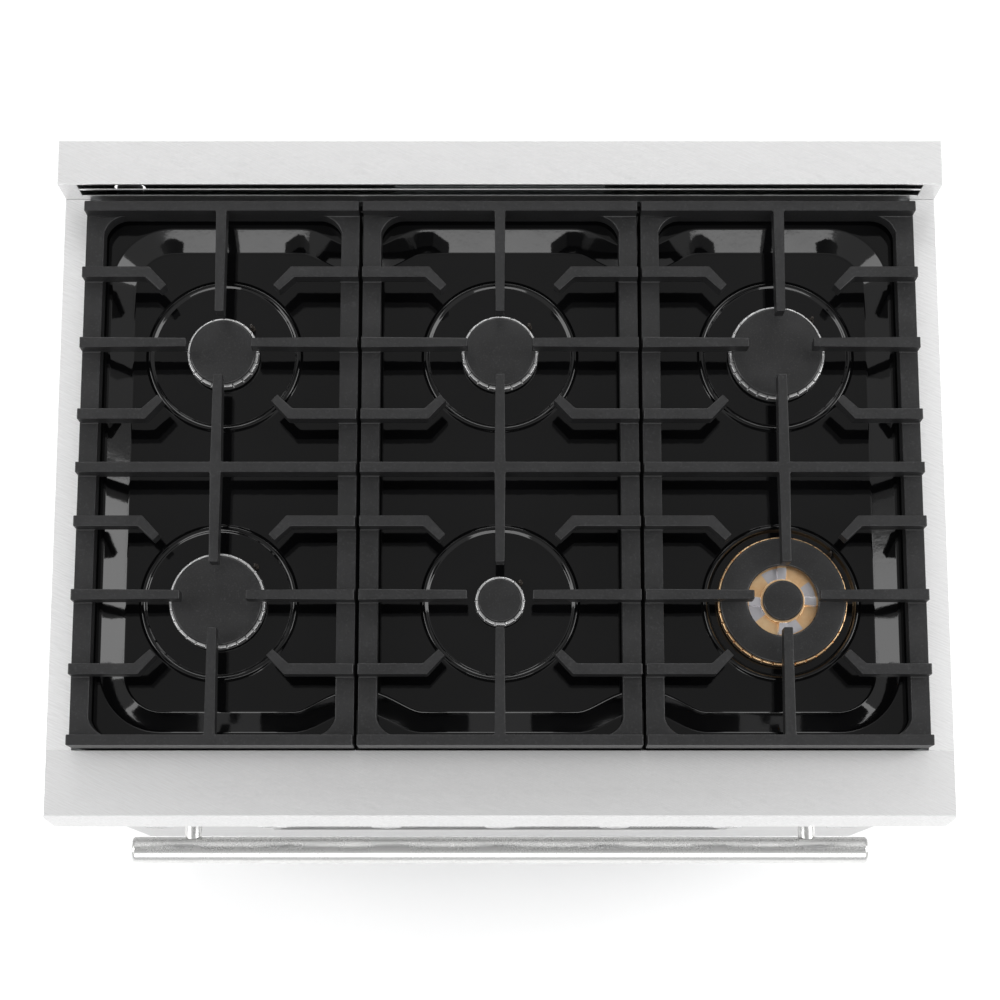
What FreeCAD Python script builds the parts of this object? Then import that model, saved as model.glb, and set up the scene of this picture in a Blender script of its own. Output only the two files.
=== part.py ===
"""Freestanding gas range: six burners under three cast grates, one oven, one drop-down door.

Millimetres, +Z up, front toward -Y, +X to the right of someone facing it.
The origin lies on the floor under the middle of the range.
"""
import FreeCAD, Part

import math
import os
import re

import Sketcher

V = FreeCAD.Vector
doc = FreeCAD.newDocument("gas_range")


# ------------------------------------------------------------------ sheets

aliases = {}


def full(text):
    """Put the sheet's name before each alias in an expression."""
    return re.sub(r"[A-Za-z_]\w*", lambda word: aliases.get(word[0], word[0]), str(text))


def sheet(name, rows):
    """A spreadsheet whose B column holds numbers or formulas, each under its alias."""
    table = doc.addObject("Spreadsheet::Sheet", name)
    for row, (alias, content) in enumerate(rows, start=1):
        formula = isinstance(content, str)
        table.set(f"A{row}", alias)
        table.set(f"B{row}", "=" + full(content) if formula else str(content))
        table.setAlias(f"B{row}", alias)
        aliases[alias] = f"{name}.{alias}"
    doc.recompute()
    return table


# Driving dimensions: each can be set by itself.
dims = sheet("dims", [
    ("width", 914), ("body_depth", 700), ("handle_reach", 30), ("deck_height", 905),
    ("leg_height", 100), ("sheet", 1.2), ("frame_sheet", 2), ("seam", 0.5),
    # cooktop
    ("trim_width", 26), ("ledge_depth", 74), ("ledge_height", 40), ("ledge_lean", 8),
    ("ledge_corner", 5), ("backguard_depth", 47.5), ("backguard_height", 50),
    ("vent_end", 20), ("vent_top_edge", 3), ("vent_upper", 14), ("vent_blade", 4),
    ("vent_lower", 17), ("tray_drop", 6), ("well_depth", 15), ("well_slope", 22),
    ("well_corner", 62), ("flange_side", 26), ("flange_front", 19), ("flange_rear", 31.5),
    ("island_width", 30), ("island_reach", 16), ("pan_ring_outer", 82), ("pan_ring_inner", 74.3),
    ("pan_ring_height", 2),
    # grates
    ("grate_gap", 3.8), ("grate_front_gap", 1.5), ("grate_rear_gap", 14), ("grate_rise", 38),
    ("grate_height", 38), ("rail_width", 19), ("rail_height", 20), ("bar_width", 10.5),
    ("finger_width", 11), ("finger_tip", 9), ("finger_height", 21), ("finger_stop", 33),
    ("bend_out", 75), ("bend_in", 58), ("gusset_width", 22), ("gusset_length", 30),
    ("foot_radius", 5), ("burner_spread", 261),
    # burners
    ("cap_rear_left", 34.4), ("cap_rear_centre", 36.8), ("cap_rear_right", 47),
    ("cap_front_left", 46.4), ("cap_front_centre", 22.5), ("cap_dual_outer", 64.4),
    ("cap_dual_hole", 36), ("cap_dual_inner", 20.6), ("cap_thick", 6.5), ("cap_locator", 2.5),
    ("head_margin", 3.2), ("head_height", 10), ("head_wall", 6), ("head_port", 1.6),
    ("base_flange", 5), ("base_radius", 22), ("base_drop", 32), ("part_gap", 0.3),
    # front
    ("panel_setback", 37), ("panel_height", 100), ("door_gap", 8), ("door_thick", 38),
    ("gasket_thick", 6), ("door_bottom", 175), ("door_side_gap", 2), ("window_side", 177),
    ("window_height", 250), ("glass_thick", 4), ("glass_lap", 14), ("handle_radius", 14),
    ("handle_end", 62), ("handle_drop", 42), ("post_end", 127), ("post_radius", 9),
    ("kick_height", 48), ("hinge_end", 67), ("hinge_drop", 9), ("hinge_inset", 10),
    ("pin_radius", 4), ("pin_clearance", 0.05), ("ear_thick", 4), ("ear_radius", 9),
    # knobs and gas
    ("knob_end", 103), ("knob_radius", 24), ("knob_front_gap", 2), ("knob_travel", 3),
    ("bezel_radius", 30), ("bezel_thick", 3.5), ("stem_radius", 4), ("stem_flat", 1.4),
    ("stem_depth", 14), ("knob_bore_depth", 20), ("valve_width", 28), ("valve_height", 34),
    ("valve_depth", 24), ("manifold_radius", 10), ("manifold_back", 24), ("gas_wall", 2),
    ("gas_tube_radius", 4), ("gas_tube_bend", 14), ("inlet_radius", 14), ("inlet_thread", 9.3),
    ("inlet_depth", 20),
    # oven
    ("oven_side_space", 77), ("oven_depth", 480), ("oven_below_deck", 255), ("oven_floor", 200),
    ("liner_flange", 22), ("blanket", 25), ("floor_plate_rise", 38), ("rack_clearance", 8),
    ("rail_reach", 12), ("rack_lower_height", 368), ("rack_step", 60), ("rack_wire", 3),
    ("rack_thin_wire", 2), ("rack_front_gap", 34), ("rack_rear_gap", 14), ("bake_radius", 11),
    ("bake_spread", 150), ("broil_width", 320), ("broil_depth", 220), ("broil_height", 24),
    ("flue_width", 220), ("flue_depth", 26), ("screw_radius", 4), ("screw_head", 3),
    # details
    ("post_leg", 24), ("ring_behind", 8), ("ring_gap", 4), ("valve_window", 64),
    ("inlet_side", 53), ("inlet_clearance", 3), ("air_slot_length", 300), ("air_slot_low", 150),
    ("air_slot_height", 6), ("air_slot_pitch", 16), ("leg_radius", 19), ("leg_screw", 7),
    ("leg_sleeve", 34), ("plate_side_gap", 6), ("plate_end_gap", 12), ("plate_slot", 16),
    ("rack_rest", 0.2), ("rung_thick", 4), ("rung_overhang", 24), ("rack_levels", 4),
    ("guide_strip", 14), ("rack_wire_pitch", 30), ("bake_front_gap", 60), ("bake_rear_gap", 60),
    ("bake_foot", 5), ("broil_hang", 10), ("broil_y", -40), ("broil_edge", 12),
    ("broil_slot", 12), ("flue_rise", 6), ("flue_slant", 110), ("flue_setback", 12),
    ("flue_lift", 20), ("window_corner", 12), ("door_inner_depth", 6), ("window_raise", -20),
    ("gasket_inset", 5), ("gasket_width", 9), ("gasket_corner", 12), ("handle_end_round", 4),
    ("handle_wall", 2),
    ("collar_thick", 3), ("cheek_thick", 3), ("cheek_radius", 8), ("pin_head", 2),
    ("ledge_lip", 8), ("ledge_back", 15), ("tray_wall", 3), ("island_root", 3),
    ("island_round", 7), ("cross_bar_drop", 8), ("gusset_round", 24), ("foot_inset", 14),
    ("cap_fit", 0.8), ("cap_edge", 1.2), ("dual_wall_inner", 42), ("ring_fit", 2),
    ("head_throat", 9), ("head_bevel", 1), ("head_floor", 4), ("head_slot_depth", 4),
    ("brass_margin", 2), ("spoke_width", 9), ("base_lap", 1), ("electrode_radius", 3),
    ("stem_hole_gap", 2), ("bezel_hole_gap", 6), ("knob_skirt", 5),
    ("knob_grip", 19), ("pointer_width", 5), ("regulator_y", 290), ("regulator_size", 52),
    ("regulator_round", 8), ("bracket_drop", 8), ("edge_inset", 46), ("leg_inset", 40),
])

# Places worked out from the driving dimensions.
places = sheet("places", [
    ("half", "width / 2"),
    ("window_width", "width - 2 * window_side"),
    ("handle_length", "width - 2 * handle_end"),
    ("post_spacing", "width - 2 * post_end"),
    ("hinge_spacing", "width - 2 * hinge_end"),
    ("knob_pitch", "(half - knob_end) / 3"),
    ("inner_half", "half - sheet"),
    ("rear", "(body_depth + handle_reach) / 2"),
    ("ledge_front", "rear - body_depth"),
    ("body_front", "ledge_front + ledge_depth"),
    ("guard_front", "rear - backguard_depth"),
    ("rear_face", "rear - screw_head"),
    ("deck", "deck_height"),
    ("guard_top", "deck + backguard_height"),
    ("trim_inner", "half - trim_width"),
    ("tray_top", "deck - tray_drop"),
    ("well_floor", "tray_top - well_depth"),
    ("ring_top", "tray_top - sheet"),
    ("well_half", "trim_inner - flange_side"),
    ("well_front", "body_front + flange_front"),
    ("well_rear", "guard_front - flange_rear"),
    ("grate_front", "body_front + grate_front_gap"),
    ("grate_rear", "guard_front - grate_rear_gap"),
    ("grate_half_depth", "(grate_rear - grate_front) / 2"),
    ("grate_middle", "(grate_rear + grate_front) / 2"),
    ("grate_width", "(2 * trim_inner - 2 * grate_gap - 2 * seam) / 3"),
    ("grate_half", "grate_width / 2"),
    ("grate_pitch", "grate_width + grate_gap"),
    ("grate_top", "deck + grate_rise"),
    ("grate_low", "grate_top - grate_height"),
    ("rail_top", "grate_low + rail_height"),
    ("finger_low", "grate_top - finger_height"),
    ("row_rear", "grate_middle + burner_spread / 2"),
    ("row_front", "grate_middle - burner_spread / 2"),
    ("head_low", "well_floor + base_flange"),
    ("head_top", "head_low + head_height"),
    ("base_low", "well_floor - base_drop"),
    ("panel_front", "ledge_front + panel_setback"),
    ("panel_top", "deck - ledge_height"),
    ("panel_low", "panel_top - panel_height"),
    ("knob_z", "(panel_top + panel_low) / 2"),
    ("bezel_front", "panel_front - bezel_thick"),
    ("knob_back", "bezel_front - knob_travel - seam"),
    ("knob_front", "ledge_front + knob_front_gap"),
    ("manifold_y", "body_front + manifold_back"),
    ("valve_back", "manifold_y - manifold_radius - 2"),
    ("valve_front", "valve_back - valve_depth"),
    ("stem_back", "valve_front + stem_depth"),
    ("bore_end", "knob_back - knob_bore_depth"),
    ("stem_front", "bore_end + knob_travel + seam"),
    ("door_back", "body_front - sheet - gasket_thick"),
    ("door_front", "door_back - door_thick"),
    ("door_top", "panel_low - door_gap"),
    ("door_half", "half - door_side_gap"),
    ("window_z", "(door_bottom + door_top) / 2 + window_raise"),
    ("handle_y", "handle_radius - rear"),
    ("handle_z", "door_top - handle_drop"),
    ("hinge_y", "door_back - hinge_inset"),
    ("hinge_z", "door_bottom - hinge_drop"),
    ("hinge_x", "hinge_spacing / 2"),
    ("oven_half", "half - oven_side_space"),
    ("oven_top", "deck - oven_below_deck"),
    ("oven_rear", "body_front + oven_depth"),
    ("blanket_half", "oven_half + sheet + blanket"),
    ("blanket_low", "oven_floor - sheet - blanket"),
    ("blanket_top", "oven_top + sheet + blanket"),
    ("blanket_rear", "oven_rear + sheet + blanket"),
    ("floor_plate", "oven_floor + floor_plate_rise"),
    ("rack_half", "oven_half - rack_clearance"),
    ("rack_front", "body_front + rack_front_gap"),
    ("rack_rear", "oven_rear - rack_rear_gap"),
    ("flue_front", "oven_rear - flue_setback - flue_depth"),
    ("flue_up", "guard_front + flue_setback"),
    ("flue_turn", "blanket_top + flue_lift"),
    ("leg_x", "half - edge_inset"),
    ("leg_front", "body_front + leg_inset"),
    ("leg_rear", "rear_face - leg_inset"),
    ("inlet_x", "half - inlet_side"),
    ("door_seam", "door_back - door_inner_depth"),
])


def number(text):
    """The number that an expression gives now."""
    return float(dims.evalExpression(full(text)))


# ------------------------------------------------------------------ modelling helpers

SIDES = ("(-1)", "1")
PLANES = {"top": "XY_Plane", "front": "XZ_Plane", "side": "YZ_Plane"}


def body(label, **place):
    """An empty body, moved to the expressions given for x, y and z."""
    piece = doc.addObject("PartDesign::Body", label)
    piece.Label = label
    for axis, text in place.items():
        piece.setExpression(f"Placement.Base.{axis}", full(text))
    return piece


def circle(x, y, radius):
    """A round outline for a sketch."""
    return ("circle", x, y, radius)


def oblong(x0, x1, y0, y1):
    """A rectangular outline for a sketch."""
    return [(x0, y0), (x1, y0), (x1, y1), (x0, y1)]


def hold(sketch, kind, geometry, point, text, guess):
    """Fix one coordinate of a sketch point to an expression."""
    index = sketch.addConstraint(Sketcher.Constraint(kind, -1, 1, geometry, point, guess))
    sketch.setExpression(f"Constraints[{index}]", full(text))


def draw_circle(sketch, x, y, radius):
    """Draw one circle whose centre and radius follow expressions."""
    middle = V(number(x), number(y), 0)
    ring = sketch.addGeometry(Part.Circle(middle, V(0, 0, 1), number(radius)), False)
    index = sketch.addConstraint(Sketcher.Constraint("Radius", ring, number(radius)))
    sketch.setExpression(f"Constraints[{index}]", full(radius))
    hold(sketch, "DistanceX", ring, 3, x, middle.x)
    hold(sketch, "DistanceY", ring, 3, y, middle.y)


def arc_between(start, end, radius):
    """The short arc from start to end: counter-clockwise for a positive radius."""
    chord = end - start
    half = chord.Length / 2
    rise = math.sqrt(max(radius * radius - half * half, 0))
    side = 1 if radius > 0 else -1
    normal = V(-chord.y, chord.x, 0).normalize()
    centre = (start + end) / 2 + normal * rise * side
    middle = centre - normal * abs(radius) * side
    return Part.Arc(start, middle, end)


def draw_outline(sketch, corners):
    """Draw a closed outline. A corner's third entry is the radius of the arc that leaves it."""
    points = [V(number(corner[0]), number(corner[1]), 0) for corner in corners]
    count = len(points)
    edges = []
    for i, corner in enumerate(corners):
        start, end = points[i], points[(i + 1) % count]
        if len(corner) == 3:
            shape = arc_between(start, end, number(corner[2]))
        else:
            shape = Part.LineSegment(start, end)
        edges.append(sketch.addGeometry(shape, False))
    # A clockwise arc is stored the other way round, so its ends change places.
    first = [2 if len(corner) == 3 and number(corner[2]) < 0 else 1 for corner in corners]
    for i in range(count):
        after = (i + 1) % count
        sketch.addConstraint(
            Sketcher.Constraint("Coincident", edges[i], 3 - first[i], edges[after], first[after]))
    for i, corner in enumerate(corners):
        hold(sketch, "DistanceX", edges[i], first[i], corner[0], points[i].x)
        hold(sketch, "DistanceY", edges[i], first[i], corner[1], points[i].y)
        if len(corner) == 3:
            radius = abs(number(corner[2]))
            index = sketch.addConstraint(Sketcher.Constraint("Radius", edges[i], radius))
            sketch.setExpression(f"Constraints[{index}]", full(f"abs({corner[2]})"))


def sketch_on(piece, name, view, level, outlines):
    """A sketch parallel to one of the piece's own planes, at a level along that axis."""
    sketch = piece.newObject("Sketcher::SketchObject", name)
    plane = [item for item in piece.Origin.OriginFeatures if item.Role == PLANES[view]][0]
    sketch.AttachmentSupport = [(plane, "")]
    sketch.MapMode = "FlatFace"
    # The front plane's normal points toward -Y.
    sign = "-1" if view == "front" else "1"
    sketch.setExpression("AttachmentOffset.Base.z", full(f"{sign} * ({level})"))
    for outline in outlines:
        if outline[0] == "circle":
            draw_circle(sketch, *outline[1:])
        else:
            draw_outline(sketch, outline)
    return sketch


def pad(piece, name, view, low, high, *outlines):
    """Material between two levels along the view's axis."""
    start = high if view == "front" else low
    feature = piece.newObject("PartDesign::Pad", name)
    sketch = sketch_on(piece, name + "_outline", view, start, outlines)
    piece.Tip = feature
    feature.Profile = sketch
    feature.setExpression("Length", full(f"({high}) - ({low})"))
    return feature


def cut(piece, name, view, low, high, *outlines):
    """Material taken away between two levels along the view's axis."""
    start = low if view == "front" else high
    sketch = sketch_on(piece, name + "_outline", view, start, outlines)
    feature = piece.newObject("PartDesign::Pocket", name)
    feature.Profile = sketch
    feature.setExpression("Length", full(f"({high}) - ({low})"))
    return feature


def turn(piece, name, axis, outline):
    """A solid of revolution: about Z from a front outline, about Y from a side outline."""
    sketch = sketch_on(piece, name + "_outline", "front" if axis == "Z" else "side", "0", [outline])
    feature = piece.newObject("PartDesign::Revolution", name)
    feature.Profile = sketch
    feature.ReferenceAxis = (sketch, ["V_Axis" if axis == "Z" else "H_Axis"])
    feature.Angle = 360
    return feature


def origin_axis(piece, role):
    """One of the three axes of the piece's own origin."""
    return [item for item in piece.Origin.OriginFeatures if item.Role == role][0]


def repeat_round(piece, feature, count):
    """Repeat a feature around the piece's own Z axis."""
    pattern = piece.newObject("PartDesign::PolarPattern", feature.Name + "_ring")
    pattern.Originals = [feature]
    pattern.Axis = (origin_axis(piece, "Z_Axis"), [""])
    pattern.Angle = 360
    pattern.Occurrences = count
    piece.Tip = pattern
    return pattern


def repeat_along(piece, feature, role, length, count):
    """Repeat a feature evenly along one of the piece's own axes."""
    pattern = piece.newObject("PartDesign::LinearPattern", feature.Name + "_row")
    pattern.Originals = [feature]
    pattern.Direction = (origin_axis(piece, role), [""])
    pattern.setExpression("Length", full(length))
    pattern.Occurrences = count
    piece.Tip = pattern
    return pattern


def soften(piece, name, radius, chosen):
    """Fillet the edges of the piece for which chosen(edge) is true."""
    doc.recompute()
    base = piece.Tip
    picked = [f"Edge{i}" for i, edge in enumerate(base.Shape.Edges, start=1) if chosen(edge)]
    feature = piece.newObject("PartDesign::Fillet", name)
    feature.Base = (base, picked)
    feature.setExpression("Radius", full(radius))
    return feature


def group(label, members):
    """Several alike solids that share one node."""
    bundle = doc.addObject("Part::Compound", label)
    bundle.Label = label
    bundle.Links = members
    return bundle


def rounded(x0, x1, y0, y1, radius):
    """A rectangular outline with round corners."""
    radius = f"({radius})"
    return [
        (f"{x0} + {radius}", y0), (f"{x1} - {radius}", y0, radius),
        (x1, f"{y0} + {radius}"), (x1, f"{y1} - {radius}", radius),
        (f"{x1} - {radius}", y1), (f"{x0} + {radius}", y1, radius),
        (x0, f"{y1} - {radius}"), (x0, f"{y0} + {radius}", radius),
    ]


def mirrored_span(side, inner, outer):
    """Low and high ends of a stretch that lies on the left (-1) or the right (1)."""
    if side > 0:
        return inner, outer
    return f"-({outer})", f"-({inner})"


parts = []


def part(piece):
    """Put a finished sub-part on the list that is written out."""
    parts.append(piece)
    return piece


# ------------------------------------------------------------------ chassis

def make_base_frame():
    """Welded chassis: floor pan, corner posts, face frame and the ring under the cooktop."""
    frame = body("base_frame")
    rear_inside = "rear_face - sheet"
    pad(frame, "pan", "top", "leg_height", "leg_height + frame_sheet",
        oblong("-inner_half", "inner_half", "body_front", rear_inside))
    posts = []
    for side in SIDES:
        for edge, inward in (("body_front", "1"), (rear_inside, "-1")):
            x = f"{side} * inner_half"
            y = f"({edge})"
            x_leg = f"{side} * (inner_half - post_leg)"
            y_leg = f"{y} + {inward} * post_leg"
            x_in = f"{side} * (inner_half - frame_sheet)"
            y_in = f"{y} + {inward} * frame_sheet"
            posts.append([(x, y), (x_leg, y), (x_leg, y_in), (x_in, y_in), (x_in, y_leg), (x, y_leg)])
    pad(frame, "posts", "top", "leg_height", "ring_top", *posts)
    pad(frame, "ring", "top", "ring_top - frame_sheet", "ring_top",
        oblong("-inner_half", "inner_half", "body_front", "guard_front + ring_behind"),
        oblong("-(well_half + ring_gap)", "well_half + ring_gap",
               "well_front - ring_gap", "well_rear + ring_gap"))
    liner_edge = "(sheet + seam)"
    pad(frame, "face", "front", "body_front", "body_front + frame_sheet",
        oblong("-inner_half", "inner_half", "leg_height", "ring_top"),
        oblong(f"-(oven_half + {liner_edge})", f"oven_half + {liner_edge}",
               f"oven_floor - {liner_edge}", f"oven_top + {liner_edge}"),
        oblong("-(3 * knob_pitch + bezel_radius)", "3 * knob_pitch + bezel_radius",
               "knob_z - valve_window / 2", "knob_z + valve_window / 2"))
    return part(frame)


def make_side_panel(label, side):
    """Outer side sheet with the flat trim folded in along its top."""
    panel = body(label)
    sign = f"({side})"
    wall = [f"{sign} * inner_half", f"{sign} * half"]
    pad(panel, "wall", "top", "leg_height", "deck", oblong(*wall, "body_front", "rear_face"))
    pad(panel, "trim", "top", "deck - sheet", "deck",
        oblong(f"{sign} * trim_inner", f"{sign} * inner_half", "body_front", "guard_front"))
    pad(panel, "lip", "top", "ring_top + seam", "deck",
        oblong(f"{sign} * trim_inner", f"{sign} * (trim_inner + sheet)",
               "body_front", "guard_front"))
    return part(panel)


def make_rear_panel():
    """Back sheet with air slots low down and a hole for the gas inlet."""
    panel = body("rear_panel")
    pad(panel, "wall", "front", "rear_face - sheet", "rear_face",
        oblong("-inner_half", "inner_half", "leg_height", "deck"))
    cut(panel, "inlet_hole", "front", "rear_face - 2 * sheet", "rear_face + sheet",
        circle("-inlet_x", "knob_z", "inlet_radius + inlet_clearance"))
    slot = cut(panel, "air_slot", "front", "rear_face - 2 * sheet", "rear_face + sheet",
               oblong("-air_slot_length / 2", "air_slot_length / 2",
                      "air_slot_low", "air_slot_low + air_slot_height"))
    repeat_along(panel, slot, "Z_Axis", "4 * air_slot_pitch", 5)
    return part(panel)


def make_kick_panel():
    """Toe panel below the door, folded back along its lower edge."""
    panel = body("kick_panel")
    pad(panel, "wall", "front", "body_front - sheet", "body_front",
        oblong("-half", "half", "leg_height", "leg_height + kick_height"))
    return part(panel)


def make_levelling_legs():
    """Four legs, each a sleeve on the pan with a screw foot."""
    legs = []
    for x in ("-leg_x", "leg_x"):
        for y in ("leg_front", "leg_rear"):
            leg = body(f"leg_{len(legs) + 1}", x=x, y=y)
            turn(leg, "profile", "Z", [
                ("0", "0"), ("leg_radius - 1", "0"), ("leg_radius", "1"), ("leg_radius", "12"),
                ("leg_screw", "14"), ("leg_screw", "leg_sleeve"), ("leg_radius", "leg_sleeve"),
                ("leg_radius", "leg_height"), ("0", "leg_height")])
            legs.append(leg)
    return part(group("levelling_legs", legs))


# ------------------------------------------------------------------ oven

def make_oven_liner():
    """Porcelain oven cavity, open to the front, with its face flange and flue hole."""
    liner = body("oven_liner")
    pad(liner, "shell", "top", "oven_floor - sheet", "oven_top + sheet",
        oblong("-(oven_half + sheet)", "oven_half + sheet", "body_front - sheet",
               "oven_rear + sheet"))
    pad(liner, "flange", "front", "body_front - sheet", "body_front",
        oblong("-(oven_half + liner_flange)", "oven_half + liner_flange",
               "oven_floor - liner_flange", "oven_top + liner_flange"))
    cut(liner, "cavity", "front", "body_front - 2 * sheet", "oven_rear",
        oblong("-oven_half", "oven_half", "oven_floor", "oven_top"))
    cut(liner, "flue_hole", "top", "oven_top - sheet", "oven_top + 2 * sheet",
        flue_inside())
    return part(liner)


def flue_inside():
    """The clear section of the flue where it leaves the oven."""
    return oblong("-(flue_width / 2 - sheet)", "flue_width / 2 - sheet",
                  "flue_front + sheet", "flue_front + flue_depth - sheet")


def make_oven_insulation():
    """Mineral blanket wrapped round the liner on five sides."""
    blanket = body("oven_insulation")
    front = "body_front + frame_sheet + seam"
    pad(blanket, "wrap", "top", "blanket_low", "blanket_top",
        oblong("-blanket_half", "blanket_half", front, "blanket_rear"))
    cut(blanket, "liner_space", "front", "body_front", "oven_rear + sheet",
        oblong("-(oven_half + sheet)", "oven_half + sheet", "oven_floor - sheet",
               "oven_top + sheet"))
    cut(blanket, "flue_hole", "top", "oven_top", "blanket_top + sheet",
        oblong("-(flue_width / 2 + seam)", "flue_width / 2 + seam",
               "flue_front - seam", "flue_front + flue_depth + seam"))
    return part(blanket)


def make_oven_floor_plate():
    """Lift-out plate over the lower burner, standing on its folded sides."""
    plate = body("oven_floor_plate")
    edge = "(oven_half - plate_side_gap)"
    top = "floor_plate"
    pad(plate, "fold", "front", "body_front + plate_end_gap", "oven_rear - plate_end_gap", [
        (f"-{edge}", "oven_floor"), (f"-{edge} + sheet", "oven_floor"),
        (f"-{edge} + sheet", f"{top} - sheet"), (f"{edge} - sheet", f"{top} - sheet"),
        (f"{edge} - sheet", "oven_floor"), (edge, "oven_floor"), (edge, top), (f"-{edge}", top)])
    slots = []
    for x in (f"-{edge} + plate_slot", f"{edge} - 2 * plate_slot"):
        slots.append(oblong(x, f"{x} + plate_slot", "body_front + 2 * plate_slot",
                            "body_front + 3 * plate_slot"))
    vents = cut(plate, "vents", "top", f"{top} - 2 * sheet", f"{top} + sheet", *slots)
    repeat_along(plate, vents, "Y_Axis", "oven_depth - 5 * plate_slot", 7)
    return part(plate)


def make_rack_guides():
    """Ladder rails on both side walls, one rung for each rack level."""
    guides = []
    for side in (-1, 1):
        guide = body("guide_left" if side < 0 else "guide_right")
        sign = f"({side})"
        rung_top = "rack_lower_height - rack_wire - rack_rest"
        wall = f"{sign} * oven_half"
        rung = pad(guide, "rung", "top", f"{rung_top} - rung_thick", rung_top,
                   oblong(f"{sign} * (oven_half - rail_reach)", wall,
                          "rack_front - rung_overhang", "rack_rear"))
        repeat_along(guide, rung, "Z_Axis", "(rack_levels - 1) * rack_step", 4)
        strips = []
        for y in ("rack_front", "(rack_front + rack_rear) / 2", "rack_rear - guide_strip"):
            strips.append(oblong(f"{sign} * (oven_half - frame_sheet)", wall,
                                 y, f"{y} + guide_strip"))
        pad(guide, "strips", "top", f"{rung_top} - rack_step / 2",
            f"{rung_top} + (rack_levels - 1) * rack_step + rack_step / 2", *strips)
        guides.append(guide)
    return part(group("rack_guides", guides))


def make_rack(label, height):
    """Wire shelf: a heavy frame with thin wires welded across it."""
    rack = body(label, z=height)
    edge = "(rack_half - rack_wire)"
    ends = ("rack_front + rack_wire", "rack_rear - rack_wire", "(rack_front + rack_rear) / 2")
    pad(rack, "cross_wires", "side", f"-{edge}", edge,
        *[circle(y, "0", "rack_wire") for y in ends])
    pad(rack, "side_wires", "front", "rack_front", "rack_rear",
        circle(f"-{edge}", "0", "rack_wire"), circle(edge, "0", "rack_wire"))
    thin = pad(rack, "thin_wire", "front", "rack_front + rack_wire", "rack_rear - rack_wire",
               circle(f"-{edge} + rack_wire_pitch", "rack_wire + rack_thin_wire / 2",
                      "rack_thin_wire"))
    repeat_along(rack, thin, "X_Axis", f"2 * {edge} - 2 * rack_wire_pitch", 17)
    return part(rack)


def make_bake_burner():
    """Lower oven burner: two tubes joined across the back, on small feet."""
    burner = body("bake_burner")
    middle = "(oven_floor + floor_plate) / 2"
    arms = [f"{sign} * bake_spread" for sign in SIDES]
    front = "body_front + bake_front_gap"
    rear = "oven_rear - bake_rear_gap"
    pad(burner, "arms", "front", front, rear, *[circle(x, middle, "bake_radius") for x in arms])
    pad(burner, "joiner", "side", *arms, circle(rear, middle, "bake_radius"))
    pad(burner, "feed", "front", rear, "oven_rear", circle("0", middle, "bake_radius / 2"))
    feet = [oblong(f"{x} - bake_foot", f"{x} + bake_foot", f"{y} - bake_foot", f"{y} + bake_foot")
            for x in arms for y in (f"{front} + 4 * bake_foot", f"{rear} - 4 * bake_foot")]
    pad(burner, "feet", "top", "oven_floor", middle, *feet)
    return part(burner)


def make_broil_burner():
    """Upper oven burner: a shallow box with a slotted radiant face, hung from the roof."""
    burner = body("broil_burner")
    low = "oven_top - broil_hang - broil_height"
    front = "broil_y - broil_depth / 2"
    rear = "broil_y + broil_depth / 2"
    pad(burner, "box", "top", low, "oven_top - broil_hang",
        oblong("-broil_width / 2", "broil_width / 2", front, rear))
    tabs = [oblong(f"{x} - bake_foot", f"{x} + bake_foot", f"{y} - bake_foot", f"{y} + bake_foot")
            for x in ("-broil_width / 3", "broil_width / 3")
            for y in (f"{front} + 2 * bake_foot", f"{rear} - 2 * bake_foot")]
    pad(burner, "hangers", "top", "oven_top - broil_hang", "oven_top", *tabs)
    slot = cut(burner, "face_slot", "top", f"{low} - sheet", f"{low} + broil_height / 2",
               oblong("-broil_width / 2 + broil_edge", "-broil_width / 2 + broil_edge + broil_slot",
                      f"{front} + broil_edge", f"{rear} - broil_edge"))
    repeat_along(burner, slot, "X_Axis", "broil_width - 2 * broil_edge - broil_slot", 12)
    return part(burner)


def make_flue_duct():
    """Sheet duct from the oven roof, stepped back and up into the backguard."""
    duct = body("flue_duct")

    def profile(wall, ends):
        low = f"oven_top + sheet - {ends}"
        high = f"deck + flue_rise + {ends}"
        y0 = f"flue_front + {wall}"
        y1 = f"flue_front + flue_depth - {wall}"
        y2 = f"flue_up + {wall}"
        y3 = f"flue_up + flue_depth - {wall}"
        return [(y0, low), (y1, low), (y1, "flue_turn"), (y3, "flue_turn + flue_slant"),
                (y3, high), (y2, high), (y2, "flue_turn + flue_slant"), (y0, "flue_turn")]

    pad(duct, "outside", "side", "-flue_width / 2", "flue_width / 2", profile("0", "0"))
    cut(duct, "inside", "side", "-(flue_width / 2 - sheet)", "flue_width / 2 - sheet",
        profile("sheet", "sheet"))
    return part(duct)


# ------------------------------------------------------------------ door

def make_door_outer_panel():
    """Front skin of the door: a pan with the window cut out."""
    panel = body("door_outer_panel")
    pad(panel, "pan", "front", "door_front", "door_seam",
        oblong("-door_half", "door_half", "door_bottom", "door_top"))
    cut(panel, "hollow", "front", "door_front + sheet", "door_seam + sheet",
        oblong("-(door_half - sheet)", "door_half - sheet", "door_bottom + sheet",
               "door_top - sheet"))
    cut(panel, "window", "front", "door_front - sheet", "door_front + 2 * sheet",
        rounded("-window_width / 2", "window_width / 2", "window_z - window_height / 2",
                "window_z + window_height / 2", "window_corner"))
    return part(panel)


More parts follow.
